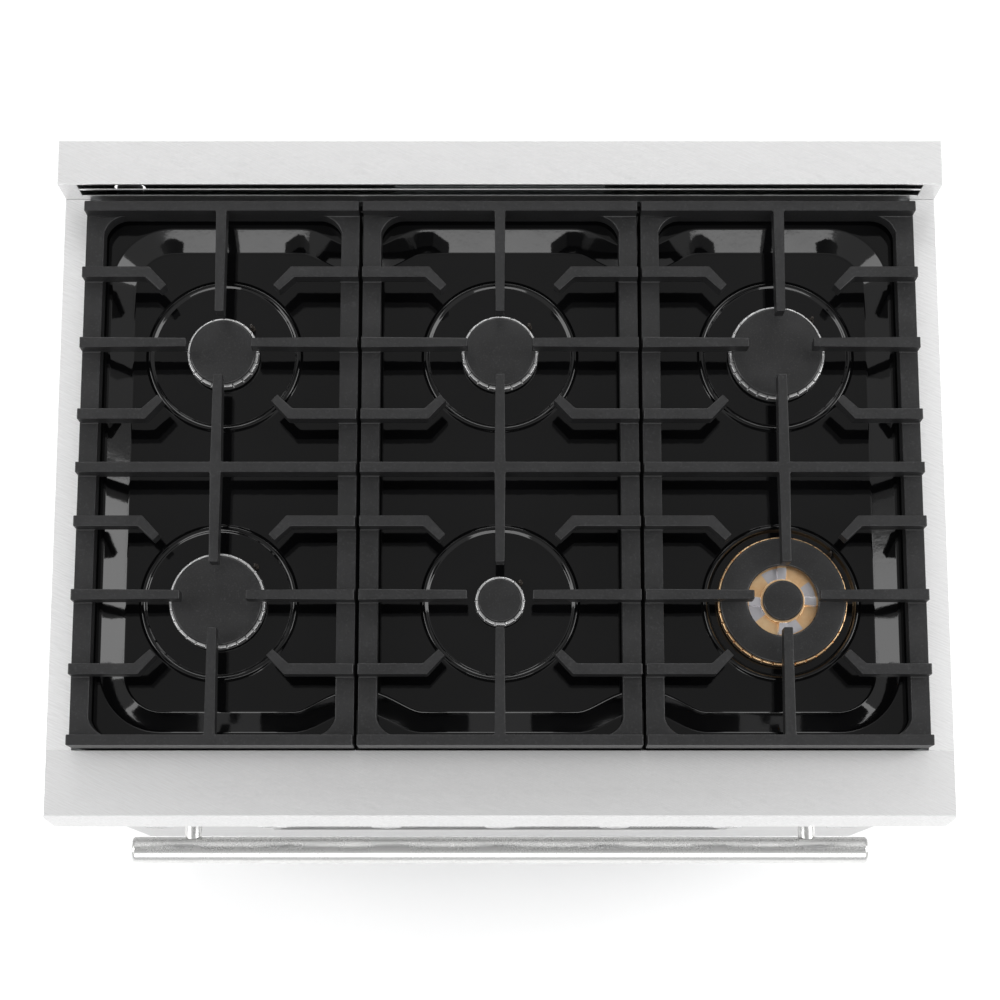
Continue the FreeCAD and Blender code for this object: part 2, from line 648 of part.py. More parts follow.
def make_door_inner_panel():
    """Rear pan of the door, with the window and the two hinge ears."""
    panel = body("door_inner_panel")
    pad(panel, "pan", "front", "door_seam", "door_back",
        oblong("-door_half", "door_half", "door_bottom", "door_top"))
    cut(panel, "hollow", "front", "door_seam - sheet", "door_back - sheet",
        oblong("-(door_half - sheet)", "door_half - sheet", "door_bottom + sheet",
               "door_top - sheet"))
    cut(panel, "window", "front", "door_back - 2 * sheet", "door_back + sheet",
        rounded("-(window_width / 2 - glass_lap)", "window_width / 2 - glass_lap",
                "window_z - window_height / 2 + glass_lap",
                "window_z + window_height / 2 - glass_lap", "window_corner"))
    for side in (-1, 1):
        name = "left" if side < 0 else "right"
        low, high = mirrored_span(side, "hinge_x - ear_thick / 2", "hinge_x + ear_thick / 2")
        pad(panel, f"ear_{name}", "side", low, high, [
            ("hinge_y + ear_radius", "door_bottom"), ("hinge_y - ear_radius", "door_bottom"),
            ("hinge_y - ear_radius", "hinge_z", "ear_radius"),
            ("hinge_y", "hinge_z - ear_radius", "ear_radius"), ("hinge_y + ear_radius", "hinge_z")])
        cut(panel, f"pin_hole_{name}", "side", f"{low} - sheet", f"{high} + sheet",
            circle("hinge_y", "hinge_z", "pin_radius + pin_clearance"))
    return part(panel)


def make_glass(label, low, high, lap):
    """A window pane, larger than its opening by the lap on every side."""
    pane = body(label)
    pad(pane, "pane", "front", low, high,
        oblong(f"-(window_width / 2 + {lap})", f"window_width / 2 + {lap}",
               f"window_z - window_height / 2 - {lap}", f"window_z + window_height / 2 + {lap}"))
    return part(pane)


def make_door_gasket():
    """Seal ring on the door that closes on the liner's flange."""
    gasket = body("door_gasket")
    inner = "(oven_half + gasket_inset)"
    outer = "(oven_half + gasket_inset + gasket_width)"
    pad(gasket, "ring", "front", "door_back", "body_front - sheet - part_gap",
        rounded(f"-{outer}", outer, "oven_floor - gasket_inset - gasket_width",
                "oven_top + gasket_inset + gasket_width", "gasket_corner + gasket_width"),
        rounded(f"-{inner}", inner, "oven_floor - gasket_inset", "oven_top + gasket_inset",
                "gasket_corner"))
    return part(gasket)


def make_handle_bar():
    """Tubular towel-bar handle."""
    bar = body("handle_bar")
    end = "handle_length / 2"
    pad(bar, "bar", "side", f"-{end}", end, circle("handle_y", "handle_z", "handle_radius"))
    soften(bar, "round_ends", "handle_end_round", lambda edge: len(edge.Vertexes) == 1)
    inside = f"({end} - 2 * handle_end_round)"
    cut(bar, "tube_bore", "side", f"-{inside}", inside,
        circle("handle_y", "handle_z", "handle_radius - handle_wall"))
    return part(bar)


def make_handle_posts():
    """Two standoffs that carry the handle, saddled to its round."""
    posts = []
    for side in SIDES:
        post = body(f"post_{len(posts) + 1}", x=f"{side} * post_spacing / 2")
        pad(post, "stem", "front", "handle_y", "door_front", circle("0", "handle_z", "post_radius"))
        pad(post, "collar", "front", "door_front - collar_thick", "door_front",
            circle("0", "handle_z", "post_radius + collar_thick"))
        cut(post, "saddle", "side", "-2 * post_radius", "2 * post_radius",
            circle("handle_y", "handle_z", "handle_radius"))
        posts.append(post)
    return part(group("handle_posts", posts))


def make_hinge_brackets():
    """Clevis on the face frame for each door hinge."""
    brackets = []
    for side in SIDES:
        bracket = body(f"bracket_{len(brackets) + 1}", x=f"{side} * hinge_x")
        inner = "ear_thick / 2 + part_gap"
        outer = f"{inner} + cheek_thick"
        low = "hinge_z - cheek_radius"
        high = "hinge_z + cheek_radius"
        outline = [("body_front", low), ("body_front", high), ("hinge_y", high, "cheek_radius"),
                   ("hinge_y - cheek_radius", "hinge_z", "cheek_radius"), ("hinge_y", low)]
        pad(bracket, "cheeks", "side", f"-({outer})", outer, outline)
        cut(bracket, "ear_slot", "top", f"{low} - 1", f"{high} + 1",
            oblong(f"-({inner})", inner, "hinge_y - 2 * cheek_radius", "body_front - frame_sheet"))
        cut(bracket, "pin_hole", "side", f"-({outer}) - 1", f"{outer} + 1",
            circle("hinge_y", "hinge_z", "pin_radius"))
        brackets.append(bracket)
    return part(group("hinge_brackets", brackets))


def make_hinge_pins():
    """Headed pin through each clevis."""
    pins = []
    for side in SIDES:
        pin = body(f"pin_{len(pins) + 1}", x=f"{side} * hinge_x")
        reach = "(ear_thick / 2 + part_gap + cheek_thick)"
        pad(pin, "shank", "side", f"-{reach}", f"{reach}", circle("hinge_y", "hinge_z", "pin_radius"))
        pad(pin, "head", "side", reach, f"{reach} + pin_head",
            circle("hinge_y", "hinge_z", "pin_radius + pin_head"))
        pins.append(pin)
    return part(group("hinge_pins", pins))


# ------------------------------------------------------------------ cooktop

BURNERS = {
    "rear_left": ("-grate_pitch", "row_rear", "cap_rear_left", 20),
    "rear_centre": ("0", "row_rear", "cap_rear_centre", 20),
    "rear_right": ("grate_pitch", "row_rear", "cap_rear_right", 28),
    "front_left": ("-grate_pitch", "row_front", "cap_front_left", 28),
    "front_centre": ("0", "row_front", "cap_front_centre", 14),
    "front_right": ("grate_pitch", "row_front", "cap_dual_outer", 36),
}


def make_front_ledge():
    """Bullnose across the front: a folded shell whose face leans back a little."""
    ledge = body("front_ledge")
    pad(ledge, "shell", "side", "-half", "half", [
        ("body_front", "panel_top"), ("body_front", "deck"), ("ledge_front + ledge_lean", "deck"),
        ("ledge_front", "panel_top")])
    end = "(half - ledge_corner - seam)"
    back = "body_front - sheet"
    lip = "panel_front + ledge_lip"
    cut(ledge, "hollow", "side", f"-{end}", end, [
        ("ledge_front + sheet", "panel_top + sheet"),
        ("ledge_front + ledge_lean + sheet", "deck - sheet"), (back, "deck - sheet"),
        (back, "deck - ledge_back"), ("body_front + sheet", "deck - ledge_back"),
        ("body_front + sheet", "panel_top - sheet"), (lip, "panel_top - sheet"),
        (lip, "panel_top + sheet")])
    corners = []
    for side in SIDES:
        corners.append([
            (f"{side} * (half + 1)", "ledge_front + ledge_corner + 1"),
            (f"{side} * (half + 1)", "ledge_front - 1"),
            (f"{side} * (half - ledge_corner - 1)", "ledge_front - 1")])
    cut(ledge, "corners", "top", "panel_top - 1", "deck + 1", *corners)
    return part(ledge)


def make_backguard():
    """Low rear guard: a hollow box with two long vent slots in its front face."""
    guard = body("backguard")
    pad(guard, "box", "top", "deck", "guard_top", oblong("-half", "half", "guard_front", "rear"))
    pad(guard, "skirt", "top", "ring_top", "deck",
        oblong("-trim_inner", "trim_inner", "guard_front", "guard_front + sheet"))
    cut(guard, "hollow", "top", "deck - sheet", "guard_top - sheet",
        oblong("-inner_half", "inner_half", "guard_front + sheet", "rear - sheet"))
    top = "(guard_top - vent_top_edge)"
    middle = f"({top} - vent_upper - vent_blade)"
    reach = "(half - vent_end)"
    cut(guard, "vents", "front", "guard_front - sheet", "guard_front + 2 * sheet",
        oblong(f"-{reach}", reach, f"{top} - vent_upper", top),
        oblong(f"-{reach}", reach, f"{middle} - vent_lower", middle))
    return part(guard)


def make_cooktop_tray():
    """Enamelled spill tray: flat flange, sloped well, six raised rings and burner holes."""
    tray = body("cooktop_tray")
    pad(tray, "flange", "top", "ring_top", "tray_top",
        oblong("-(trim_inner - seam)", "trim_inner - seam", "body_front + seam",
               "guard_front - seam"))
    taper = "-atan(well_slope / well_depth)"
    block = pad(tray, "block", "top", "well_floor - sheet", "tray_top",
                rounded("-(well_half + tray_wall - well_slope)", "well_half + tray_wall - well_slope",
                        "well_front - tray_wall + well_slope", "well_rear + tray_wall - well_slope",
                        "(well_corner + tray_wall - well_slope)"))
    block.setExpression("TaperAngle", full("atan((well_slope) / (well_depth + sheet))"))
    well = cut(tray, "well", "top", "well_floor", "tray_top",
               rounded("-well_half", "well_half", "well_front", "well_rear", "well_corner"))
    well.setExpression("TaperAngle", full(taper))
    islands = []
    for x in ("-grate_pitch / 2", "grate_pitch / 2"):
        for y0, y1 in (("well_front - island_root", "well_front + island_reach"),
                       ("well_rear - island_reach", "well_rear + island_root")):
            islands.append(rounded(f"{x} - island_width / 2", f"{x} + island_width / 2",
                                   y0, y1, "island_round"))
    pad(tray, "islands", "top", "well_floor - sheet", "tray_top", *islands)
    rings = []
    holes = []
    for x, y, _, _ in BURNERS.values():
        rings += [circle(x, y, "pan_ring_outer"), circle(x, y, "pan_ring_inner")]
        holes.append(circle(x, y, "base_radius + seam"))
    pad(tray, "pan_rings", "top", "well_floor", "well_floor + pan_ring_height", *rings)
    cut(tray, "burner_holes", "top", "well_floor - 2 * sheet", "well_floor + sheet", *holes)
    return part(tray)


def finger(x0, y0, x1, y1, width0, width1, along):
    """Outline of a straight grate finger along X or Y, from root to tip."""
    if along == "X":
        return [(x0, f"{y0} - {width0} / 2"), (x1, f"{y1} - {width1} / 2"),
                (x1, f"{y1} + {width1} / 2"), (x0, f"{y0} + {width0} / 2")]
    return [(f"{x0} - {width0} / 2", y0), (f"{x1} - {width1} / 2", y1),
            (f"{x1} + {width1} / 2", y1), (f"{x0} + {width0} / 2", y0)]


def bent_finger(side, end, row):
    """Outline of a finger that runs in from one side and turns 45 degrees to the burner."""
    half_width = "finger_width / 2"
    miter = f"(tan(22.5 deg) * {half_width})"
    tip = "(finger_tip / 2 * sqrt(0.5))"
    points = [
        ("grate_half", f"bend_out + {half_width}"),
        (f"bend_out - {miter}", f"bend_out + {half_width}"),
        (f"bend_in - {tip}", f"bend_in + {tip}"),
        (f"bend_in + {tip}", f"bend_in - {tip}"),
        (f"bend_out + {miter}", f"bend_out - {half_width}"),
        ("grate_half", f"bend_out - {half_width}")]
    return [(f"{side} * ({x})", f"{row} + {end} * ({y})") for x, y in points]


def make_grate(label, x):
    """Cast grate over two burners: end bars, low side rails, fingers, gussets and feet."""
    grate = body(label, x=x, y="grate_middle")
    deep = "grate_half_depth"
    row = "burner_spread / 2"
    rails = [oblong(f"{side} * grate_half", f"{side} * (grate_half - rail_width)",
                    f"-{deep}", deep) for side in SIDES]
    pad(grate, "side_rails", "top", "grate_low", "rail_top", *rails)
    bars = [oblong("-grate_half", "grate_half", f"-{deep}", f"-{deep} + bar_width"),
            oblong("-grate_half", "grate_half", f"{deep} - bar_width", deep)]
    pad(grate, "end_bars", "top", "grate_low", "grate_top", *bars)
    pad(grate, "cross_bar", "top", "rail_top - cross_bar_drop", "grate_top",
        oblong("-grate_half", "grate_half", "-bar_width / 2", "bar_width / 2"))
    fingers = []
    for side in SIDES:
        for end in SIDES:
            centre = f"{end} * {row}"
            fingers.append(finger(f"{side} * grate_half", centre, f"{side} * finger_stop", centre,
                                  "finger_width", "finger_tip", "X"))
            for bend in SIDES:
                fingers.append(bent_finger(side, bend, centre))
    for end in SIDES:
        fingers.append(finger("0", f"{end} * {deep}", "0", f"{end} * ({row} + finger_stop)",
                              "finger_width", "finger_tip", "Y"))
    reach = f"({row} - finger_stop)"
    fingers.append([
        ("-finger_tip / 2", f"-{reach}"), ("finger_tip / 2", f"-{reach}"),
        ("finger_width / 2", "0"), ("finger_tip / 2", reach), ("-finger_tip / 2", reach),
        ("-finger_width / 2", "0")])
    pad(grate, "fingers", "top", "finger_low", "grate_top", *fingers)
    gussets = []
    for side in SIDES:
        for end in SIDES:
            x = f"{side} * (grate_half - rail_width)"
            y = f"{end} * ({deep} - bar_width)"
            x_in = f"{side} * (grate_half - rail_width - gusset_width)"
            y_in = f"{end} * ({deep} - bar_width - gusset_length)"
            x_root = f"{x} + {side}"
            y_root = f"{y} + {end}"
            gussets.append([(x_root, y_root), (x_in, y_root),
                            (x_in, y, f"(-1) * {side} * {end} * gusset_round"),
                            (x, y_in), (x_root, y_in)])
    pad(grate, "gussets", "top", "grate_low", "rail_top", *gussets)
    feet = [circle(f"{side} * (grate_half - foot_inset)", f"{end} * ({deep} - bar_width / 2)",
                   "foot_radius") for side in SIDES for end in SIDES]
    pad(grate, "feet", "top", "tray_top", "grate_low", *feet)
    return part(grate)


def make_cap(label, x, y, radius):
    """Enamelled cap, slightly domed, with a locating boss that drops into its head."""
    cap = body(label, x=x, y=y, z="head_top")
    boss = f"({radius} - head_wall - cap_fit)"
    turn(cap, "profile", "Z", [
        ("0", "-cap_locator"), (boss, "-cap_locator"), (boss, "0"), (radius, "0"),
        (radius, "cap_thick - 2 * cap_edge"), (f"{radius} - cap_edge", "cap_thick - cap_edge"),
        (f"{radius} * 0.6", "cap_thick - cap_edge / 4"), ("0", "cap_thick")])
    return part(cap)


def make_ring_cap(label, x, y):
    """Ring-shaped cap of the dual burner's outer flame."""
    cap = body(label, x=x, y=y, z="head_top")
    inner = "cap_dual_hole"
    outer = "cap_dual_outer"
    low = "(dual_wall_inner + ring_fit)"
    high = "(cap_dual_outer - head_wall - cap_fit)"
    turn(cap, "profile", "Z", [
        (inner, "0"), (low, "0"), (low, "-cap_locator"), (high, "-cap_locator"), (high, "0"),
        (outer, "0"), (outer, "cap_thick - 2 * cap_edge"),
        (f"{outer} - cap_edge", "cap_thick - cap_edge"),
        ("(cap_dual_hole + cap_dual_outer) / 2", "cap_thick"),
        (f"{inner} + cap_edge", "cap_thick - cap_edge"), (inner, "cap_thick - 2 * cap_edge")])
    return part(cap)


def make_burner_heads():
    """Five aluminium heads, each an open ring with flame slots cut through its rim."""
    heads = []
    for name, (x, y, cap, slots) in BURNERS.items():
        if name == "front_right":
            continue
        head = body(f"head_{name}", x=x, y=y, z="head_low")
        inner = f"({cap} - head_wall)"
        outer = f"({cap} + head_margin)"
        turn(head, "profile", "Z", [
            ("head_throat", "0"), (outer, "0"), (outer, "head_height - 2 * head_bevel"),
            (f"{outer} - head_bevel", "head_height"), (inner, "head_height"),
            (inner, "head_floor"), ("head_throat", "head_floor")])
        slot = cut(head, "flame_slot", "top", "head_height - head_slot_depth", "head_height + 1",
                   oblong(f"{inner} - 1", f"{outer} + 1", "-head_port / 2", "head_port / 2"))
        repeat_round(head, slot, slots)
        heads.append(head)
    return part(group("burner_heads", heads))


def make_brass_head():
    """Brass head of the dual burner: an outer and an inner ring joined by four spokes."""
    x, y, _, slots = BURNERS["front_right"]
    head = body("brass_burner_head", x=x, y=y, z="head_low")
    outer = "(cap_dual_outer + brass_margin)"
    wall = "dual_wall_inner"
    core = "(cap_dual_inner + brass_margin)"
    turn(head, "profile", "Z", [
        ("head_throat", "0"), (outer, "0"), (outer, "head_height - head_bevel"),
        (f"{outer} - head_bevel", "head_height"), ("cap_dual_outer - head_wall", "head_height"),
        ("cap_dual_outer - head_wall", "head_floor"), (f"{wall} + ring_fit / 2", "head_floor"),
        (f"{wall} + ring_fit / 2", "head_height"), (f"{wall} - ring_fit", "head_height"),
        (f"{wall} - ring_fit", "head_floor"), (core, "head_floor"), (core, "head_height"),
        ("cap_dual_inner - head_wall", "head_height"), ("cap_dual_inner - head_wall", "head_floor"),
        ("head_throat", "head_floor")])
    spoke = pad(head, "spoke", "top", "0", "head_height - head_bevel",
                oblong(f"{core} - 1", f"{wall} - ring_fit + 1", "-spoke_width / 2", "spoke_width / 2"))
    repeat_round(head, spoke, 4)
    slot = cut(head, "flame_slot", "top", "head_height - head_slot_depth", "head_height + 1",
               oblong("cap_dual_outer - head_wall - 1", f"{outer} + 1", "-head_port / 2", "head_port / 2"))
    repeat_round(head, slot, slots)
    return part(head)


def make_burner_bases():
    """Cast bases through the tray: a flange above it and the mixing cup below."""
    bases = []
    for name, (x, y, cap, _) in BURNERS.items():
        base = body(f"base_{name}", x=x, y=y, z="well_floor")
        turn(base, "profile", "Z", [
            ("0", "-base_drop"), ("base_radius - head_floor", "-base_drop"),
            ("base_radius", "head_floor - base_drop"), ("base_radius", "0"),
            (f"{cap} + base_lap", "0"), (f"{cap} + base_lap", "base_flange"),
            ("head_throat", "base_flange"), ("head_throat", "2 * head_floor - base_drop"),
            ("0", "2 * head_floor - base_drop")])
        bases.append(base)
    return part(group("burner_bases", bases))


def make_spark_electrodes():
    """A ceramic igniter standing on the tray beside each head."""
    electrodes = []
    for name, (x, y, cap, _) in BURNERS.items():
        away = f"({cap} + head_margin + electrode_radius + part_gap) * sqrt(0.5)"
        electrode = body(f"electrode_{name}", x=f"{x} + {away}", y=f"{y} + {away}", z="well_floor")
        turn(electrode, "profile", "Z", [
            ("0", "0"), ("electrode_radius", "0"), ("electrode_radius", "3"),
            ("electrode_radius * 0.6", "5"), ("electrode_radius * 0.6", "14"), ("1", "15"),
            ("1", "18"), ("0", "18")])
        electrodes.append(electrode)
    return part(group("spark_electrodes", electrodes))


# ------------------------------------------------------------------ controls and gas

KNOBS = {f"knob_{i + 1 if i < 3 else i}": f"{i - 3} * knob_pitch" for i in range(7) if i != 3}
OVEN_KNOB_X = "0"


def make_control_panel():
    """Folded front panel with a hole for each stem."""
    panel = body("control_panel")
    pad(panel, "box", "top", "panel_low", "panel_top",
        oblong("-half", "half", "panel_front", "body_front"))
    cut(panel, "hollow", "front", "panel_front + sheet", "body_front + sheet",
        oblong("-inner_half", "inner_half", "panel_low + sheet", "panel_top - sheet"))
    holes = [circle(x, "knob_z", "stem_radius + stem_hole_gap") for x in [OVEN_KNOB_X, *KNOBS.values()]]
    cut(panel, "stem_holes", "front", "panel_front - sheet", "panel_front + 2 * sheet", *holes)
    return part(panel)


def make_knob_bezels():
    """A raised ring on the panel behind each knob."""
    rings = []
    for x in [OVEN_KNOB_X, *KNOBS.values()]:
        ring = body(f"bezel_{len(rings) + 1}", x=x, z="knob_z")
        turn(ring, "profile", "Y", [
            ("panel_front", "stem_radius + bezel_hole_gap"), ("panel_front", "bezel_radius"),
            ("bezel_front + 1", "bezel_radius"), ("bezel_front", "bezel_radius - 1"),
            ("bezel_front", "stem_radius + bezel_hole_gap")])
        rings.append(ring)
    return part(group("knob_bezels", rings))


def knob_solid(label, x):
    """A turned knob with a grip bar on its face and a D-shaped bore from behind."""
    knob = body(label, x=x, z="knob_z")
    turn(knob, "profile", "Y", [
        ("knob_back", "0"), ("knob_back", "knob_radius - 1"), ("knob_back - 1", "knob_radius"),
        ("knob_back - knob_skirt", "knob_radius"), ("knob_back - knob_skirt - 2", "knob_grip"),
        ("knob_front + 2", "knob_grip - 2"), ("knob_front", "knob_grip - 4"), ("knob_front", "0")])
    pad(knob, "pointer", "front", "knob_front", "knob_back - knob_skirt + 1",
        oblong("-pointer_width / 2", "pointer_width / 2", "-knob_grip", "knob_radius - 2"))
    bore = "(stem_radius + pin_clearance)"
    flat = "(stem_radius - stem_flat + pin_clearance)"
    cut(knob, "bore", "front", "bore_end", "knob_back + 1", d_section(bore, flat))
    return knob


def d_section(radius, flat):
    """A round section with one flat across its top."""
    root = f"sqrt({radius} * {radius} - {flat} * {flat})"
    return [(f"-{root}", flat, radius), (f"-{radius}", "0", radius), ("0", f"-{radius}", radius),
            (radius, "0", radius), (root, flat)]


def stem_solid(label, x):
    """Valve stem: round inside the valve and the panel, D-shaped inside the knob."""
    stem = body(label, x=x, z="knob_z")
    shoulder = "knob_back + knob_travel + seam"
    pad(stem, "round", "front", shoulder, "stem_back", circle("0", "0", "stem_radius"))
    pad(stem, "flatted", "front", "stem_front", shoulder,
        d_section("stem_radius", "(stem_radius - stem_flat)"))
    return stem


def make_gas_valves():
    """A valve behind each knob, screwed to the manifold by a short nipple."""
    valves = []
    for x in [OVEN_KNOB_X, *KNOBS.values()]:
        valve = body(f"valve_{len(valves) + 1}", x=x, z="knob_z")
        pad(valve, "block", "front", "valve_front", "valve_back",
            oblong("-valve_width / 2", "valve_width / 2", "-valve_height / 2", "valve_height / 2"))
        pad(valve, "nipple", "front", "valve_back", "manifold_y - manifold_radius",
            circle("0", "0", "manifold_radius / 2"))
        cut(valve, "stem_bore", "front", "valve_front - 1", "stem_back + part_gap",
            circle("0", "0", "stem_radius + pin_clearance"))
        valves.append(valve)
    return part(group("gas_valves", valves))


def make_gas_manifold():
    """Manifold pipe behind the valves, led back along the left side to the regulator."""
    pipe = body("gas_manifold")
    left = "-inlet_x"
    right = "3 * knob_pitch + 2 * manifold_radius"
    pad(pipe, "front_run", "side", left, right, circle("manifold_y", "knob_z", "manifold_radius"))
    pad(pipe, "side_run", "front", "manifold_y", "regulator_y - regulator_size / 2",
        circle(left, "knob_z", "manifold_radius"))
    pad(pipe, "regulator", "top", "knob_z - regulator_size / 2", "knob_z + regulator_size / 2",
        rounded(f"{left} - regulator_size / 2", f"{left} + regulator_size / 2",
                "regulator_y - regulator_size / 2", "regulator_y + regulator_size / 2",
                "regulator_round"))
    pad(pipe, "inlet", "front", "regulator_y", "rear_face", circle(left, "knob_z", "inlet_radius"))
    cut(pipe, "inlet_bore", "front", "rear_face - inlet_depth", "rear_face + 1",
        circle(left, "knob_z", "inlet_thread"))
    bore = "manifold_radius - gas_wall"
    cut(pipe, "side_bore", "front", "manifold_y", "rear_face - inlet_depth",
        circle(left, "knob_z", bore))
    cut(pipe, "front_bore", "side", left, f"{right} - gas_wall",
        circle("manifold_y", "knob_z", bore))
    brackets = [oblong(f"{x} - valve_width / 4", f"{x} + valve_width / 4",
                       "body_front + frame_sheet", "manifold_y")
                for x in ("-1.5 * knob_pitch", "1.5 * knob_pitch")]
    pad(pipe, "brackets", "top", "knob_z - valve_window / 2 - bracket_drop", "knob_z", *brackets)
    return part(pipe)


FEEDS = {"knob_1": "front_left", "knob_2": "rear_left", "knob_3": "front_centre",
         "knob_4": "rear_centre", "knob_5": "rear_right", "knob_6": "front_right"}


def make_burner_tubes():
    """A bent tube from each valve to its burner's mixing cup."""
    tubes = []
    for knob, burner in FEEDS.items():
        x0 = KNOBS[knob]
        x1, y1, _, _ = BURNERS[burner]
        y0 = "(valve_back - gas_tube_radius - 1)"
        low = "(knob_z + valve_height / 2)"
        high = "(base_low + base_drop / 2)"
        tube = body(f"tube_{burner}", x=x0, y=y0, z=low)
        tube.Placement = FreeCAD.Placement(V(0, 0, 0), V(0, 0, 1), 1)
        dx = f"({x1} - ({x0}))"
        dy = f"({y1} - {y0})"
        tube.setExpression("Placement.Rotation.Angle", full(f"atan2({dy}; {dx})"))
        length = f"hypot({dx}; {dy}) - base_radius - part_gap"
        rise = f"({high} - {low})"
        path = sketch_on(tube, "path", "front", "0", [])
        bend = number("gas_tube_bend")
        up = path.addGeometry(Part.LineSegment(V(0, 0, 0), V(0, number(rise) - bend, 0)), False)
        start = V(0, number(rise) - bend, 0)
        stop = V(bend, number(rise), 0)
        turned = path.addGeometry(arc_between(start, stop, -bend), False)
        run = path.addGeometry(Part.LineSegment(stop, V(number(length), number(rise), 0)), False)
        path.addConstraint(Sketcher.Constraint("Coincident", up, 2, turned, 2))
        path.addConstraint(Sketcher.Constraint("Coincident", turned, 1, run, 1))
        hold(path, "DistanceX", up, 1, "0", 0)
        hold(path, "DistanceY", up, 1, "0", 0)
        hold(path, "DistanceX", up, 2, "0", 0)
        hold(path, "DistanceY", up, 2, f"{rise} - gas_tube_bend", number(rise) - bend)
        hold(path, "DistanceX", run, 1, "gas_tube_bend", bend)
        hold(path, "DistanceY", run, 1, rise, number(rise))
        hold(path, "DistanceX", run, 2, length, number(length))
        hold(path, "DistanceY", run, 2, rise, number(rise))
        index = path.addConstraint(Sketcher.Constraint("Radius", turned, bend))
        path.setExpression(f"Constraints[{index}]", full("gas_tube_bend"))
        section = sketch_on(tube, "section", "top", "0", [circle("0", "0", "gas_tube_radius")])
        pipe = tube.newObject("PartDesign::AdditivePipe", "run")
        pipe.Profile = section
        pipe.Spine = (path, ["Edge1", "Edge2", "Edge3"])
        tubes.append(tube)
    return part(group("burner_tubes", tubes))


def make_panel_screws():
    """Pan-head screws that hold the rear panel."""
    screws = []
    for x in ("-(inner_half - post_leg / 2)", "inner_half - post_leg / 2"):
        for share in ("0.08", "0.36", "0.64", "0.92"):
            z = f"leg_height + {share} * (deck - leg_height)"
            screw = body(f"screw_{len(screws) + 1}", x=x, z=z)
            turn(screw, "profile", "Y", [
                ("rear_face", "0"), ("rear_face", "screw_radius"), ("rear - 1", "screw_radius"),
                ("rear", "screw_radius - 1"), ("rear", "0")])
            screws.append(screw)
    return part(group("panel_screws", screws))


# ------------------------------------------------------------------ the whole range

def build():
    """Make every sub-part."""
    make_base_frame()
    make_side_panel("side_panel_left", -1)
    make_side_panel("side_panel_right", 1)
    make_rear_panel()
    make_kick_panel()
    make_levelling_legs()
    make_oven_liner()
    make_oven_insulation()
    make_oven_floor_plate()
    make_rack_guides()
    make_rack("oven_rack_lower", "rack_lower_height")
    make_rack("oven_rack_upper", "rack_lower_height + 2 * rack_step")
    make_bake_burner()
    make_broil_burner()
    make_flue_duct()
    make_door_outer_panel()
    make_door_inner_panel()
    make_glass("door_outer_glass", "door_front + sheet", "door_front + sheet + glass_thick",
               "glass_lap")
    make_glass("door_inner_glass", "door_back - sheet - glass_thick", "door_back - sheet", "0")
    make_door_gasket()
    make_handle_bar()
    make_handle_posts()
    make_hinge_brackets()
    make_hinge_pins()
    make_front_ledge()
    make_backguard()
    make_cooktop_tray()
    for name, x in (("left", "-grate_pitch"), ("centre", "0"), ("right", "grate_pitch")):
        make_grate(f"grate_{name}", x)
    for name, (x, y, cap, _) in BURNERS.items():
        if name != "front_right":
            make_cap(f"cap_{name}", x, y, cap)
    x, y, _, _ = BURNERS["front_right"]
    make_ring_cap("cap_front_right_ring", x, y)
    make_cap("cap_front_right_inner", x, y, "cap_dual_inner")
    make_burner_heads()
    make_brass_head()
    make_burner_bases()
    make_spark_electrodes()
    make_control_panel()
    make_knob_bezels()
    for i, (name, x) in enumerate(KNOBS.items(), start=1):
        part(knob_solid(name, x))
        part(stem_solid(f"valve_stem_{i}", x))
    part(group("oven_knob", [knob_solid("oven_knob_grip", OVEN_KNOB_X),
                             stem_solid("oven_knob_shaft", OVEN_KNOB_X)]))
    make_gas_valves()
    make_gas_manifold()
    make_burner_tubes()
    make_panel_screws()


def check():
    """Stop if any object failed, any sub-part is unsound or any cut removed nothing."""
    doc.recompute()
    faults = [item.Name for item in doc.Objects if {"Invalid", "Error"} & set(item.State)]
    for piece in parts:
        if piece.Shape.isNull() or not piece.Shape.isValid():
            faults.append(piece.Label)
    for item in doc.Objects:
        if item.TypeId == "PartDesign::Pocket":
            if item.Shape.Volume > item.BaseFeature.Shape.Volume - 0.01:
                faults.append(f"{item.Name} cuts nothing")
    if faults:
        raise RuntimeError("unsound: " + ", ".join(faults))


def export():
    """Write each sub-part to its own file."""
    os.makedirs("parts", exist_ok=True)
    for piece in parts:
        piece.Shape.exportStep(f"parts/{piece.Label}.step")
        box = piece.Shape.BoundBox
        print(f"{piece.Label:24s} solids {len(piece.Shape.Solids)}"
              f"  volume {piece.Shape.Volume / 1000:9.1f} cm3"
              f"  x {box.XMin:7.1f} {box.XMax:7.1f}  y {box.YMin:7.1f} {box.YMax:7.1f}"
              f"  z {box.ZMin:7.1f} {box.ZMax:7.1f}")


build()
check()
export()
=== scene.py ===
"""Looks of a freestanding gas range, built round its CAD parts.

Metres, +Z up, front toward -Y, +X to the right of someone facing it.
"""

import math

import bpy
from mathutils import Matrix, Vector


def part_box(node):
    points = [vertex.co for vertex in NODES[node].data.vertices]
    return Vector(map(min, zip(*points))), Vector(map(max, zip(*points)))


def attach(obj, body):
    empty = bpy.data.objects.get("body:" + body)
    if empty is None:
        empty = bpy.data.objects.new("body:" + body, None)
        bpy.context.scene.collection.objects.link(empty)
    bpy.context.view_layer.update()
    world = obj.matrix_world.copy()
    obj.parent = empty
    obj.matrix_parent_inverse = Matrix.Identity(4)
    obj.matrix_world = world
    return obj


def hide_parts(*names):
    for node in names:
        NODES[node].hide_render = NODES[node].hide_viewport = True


bl_info = {
    "name": "Gas range looks",
    "version": (1, 0, 0),
    "blender": (4, 5, 0),
    "location": "3D View > Sidebar > Gas range",
    "description": "Models the castings, sheet metal and finishes of a six-burner gas range",
    "category": "Object",
}

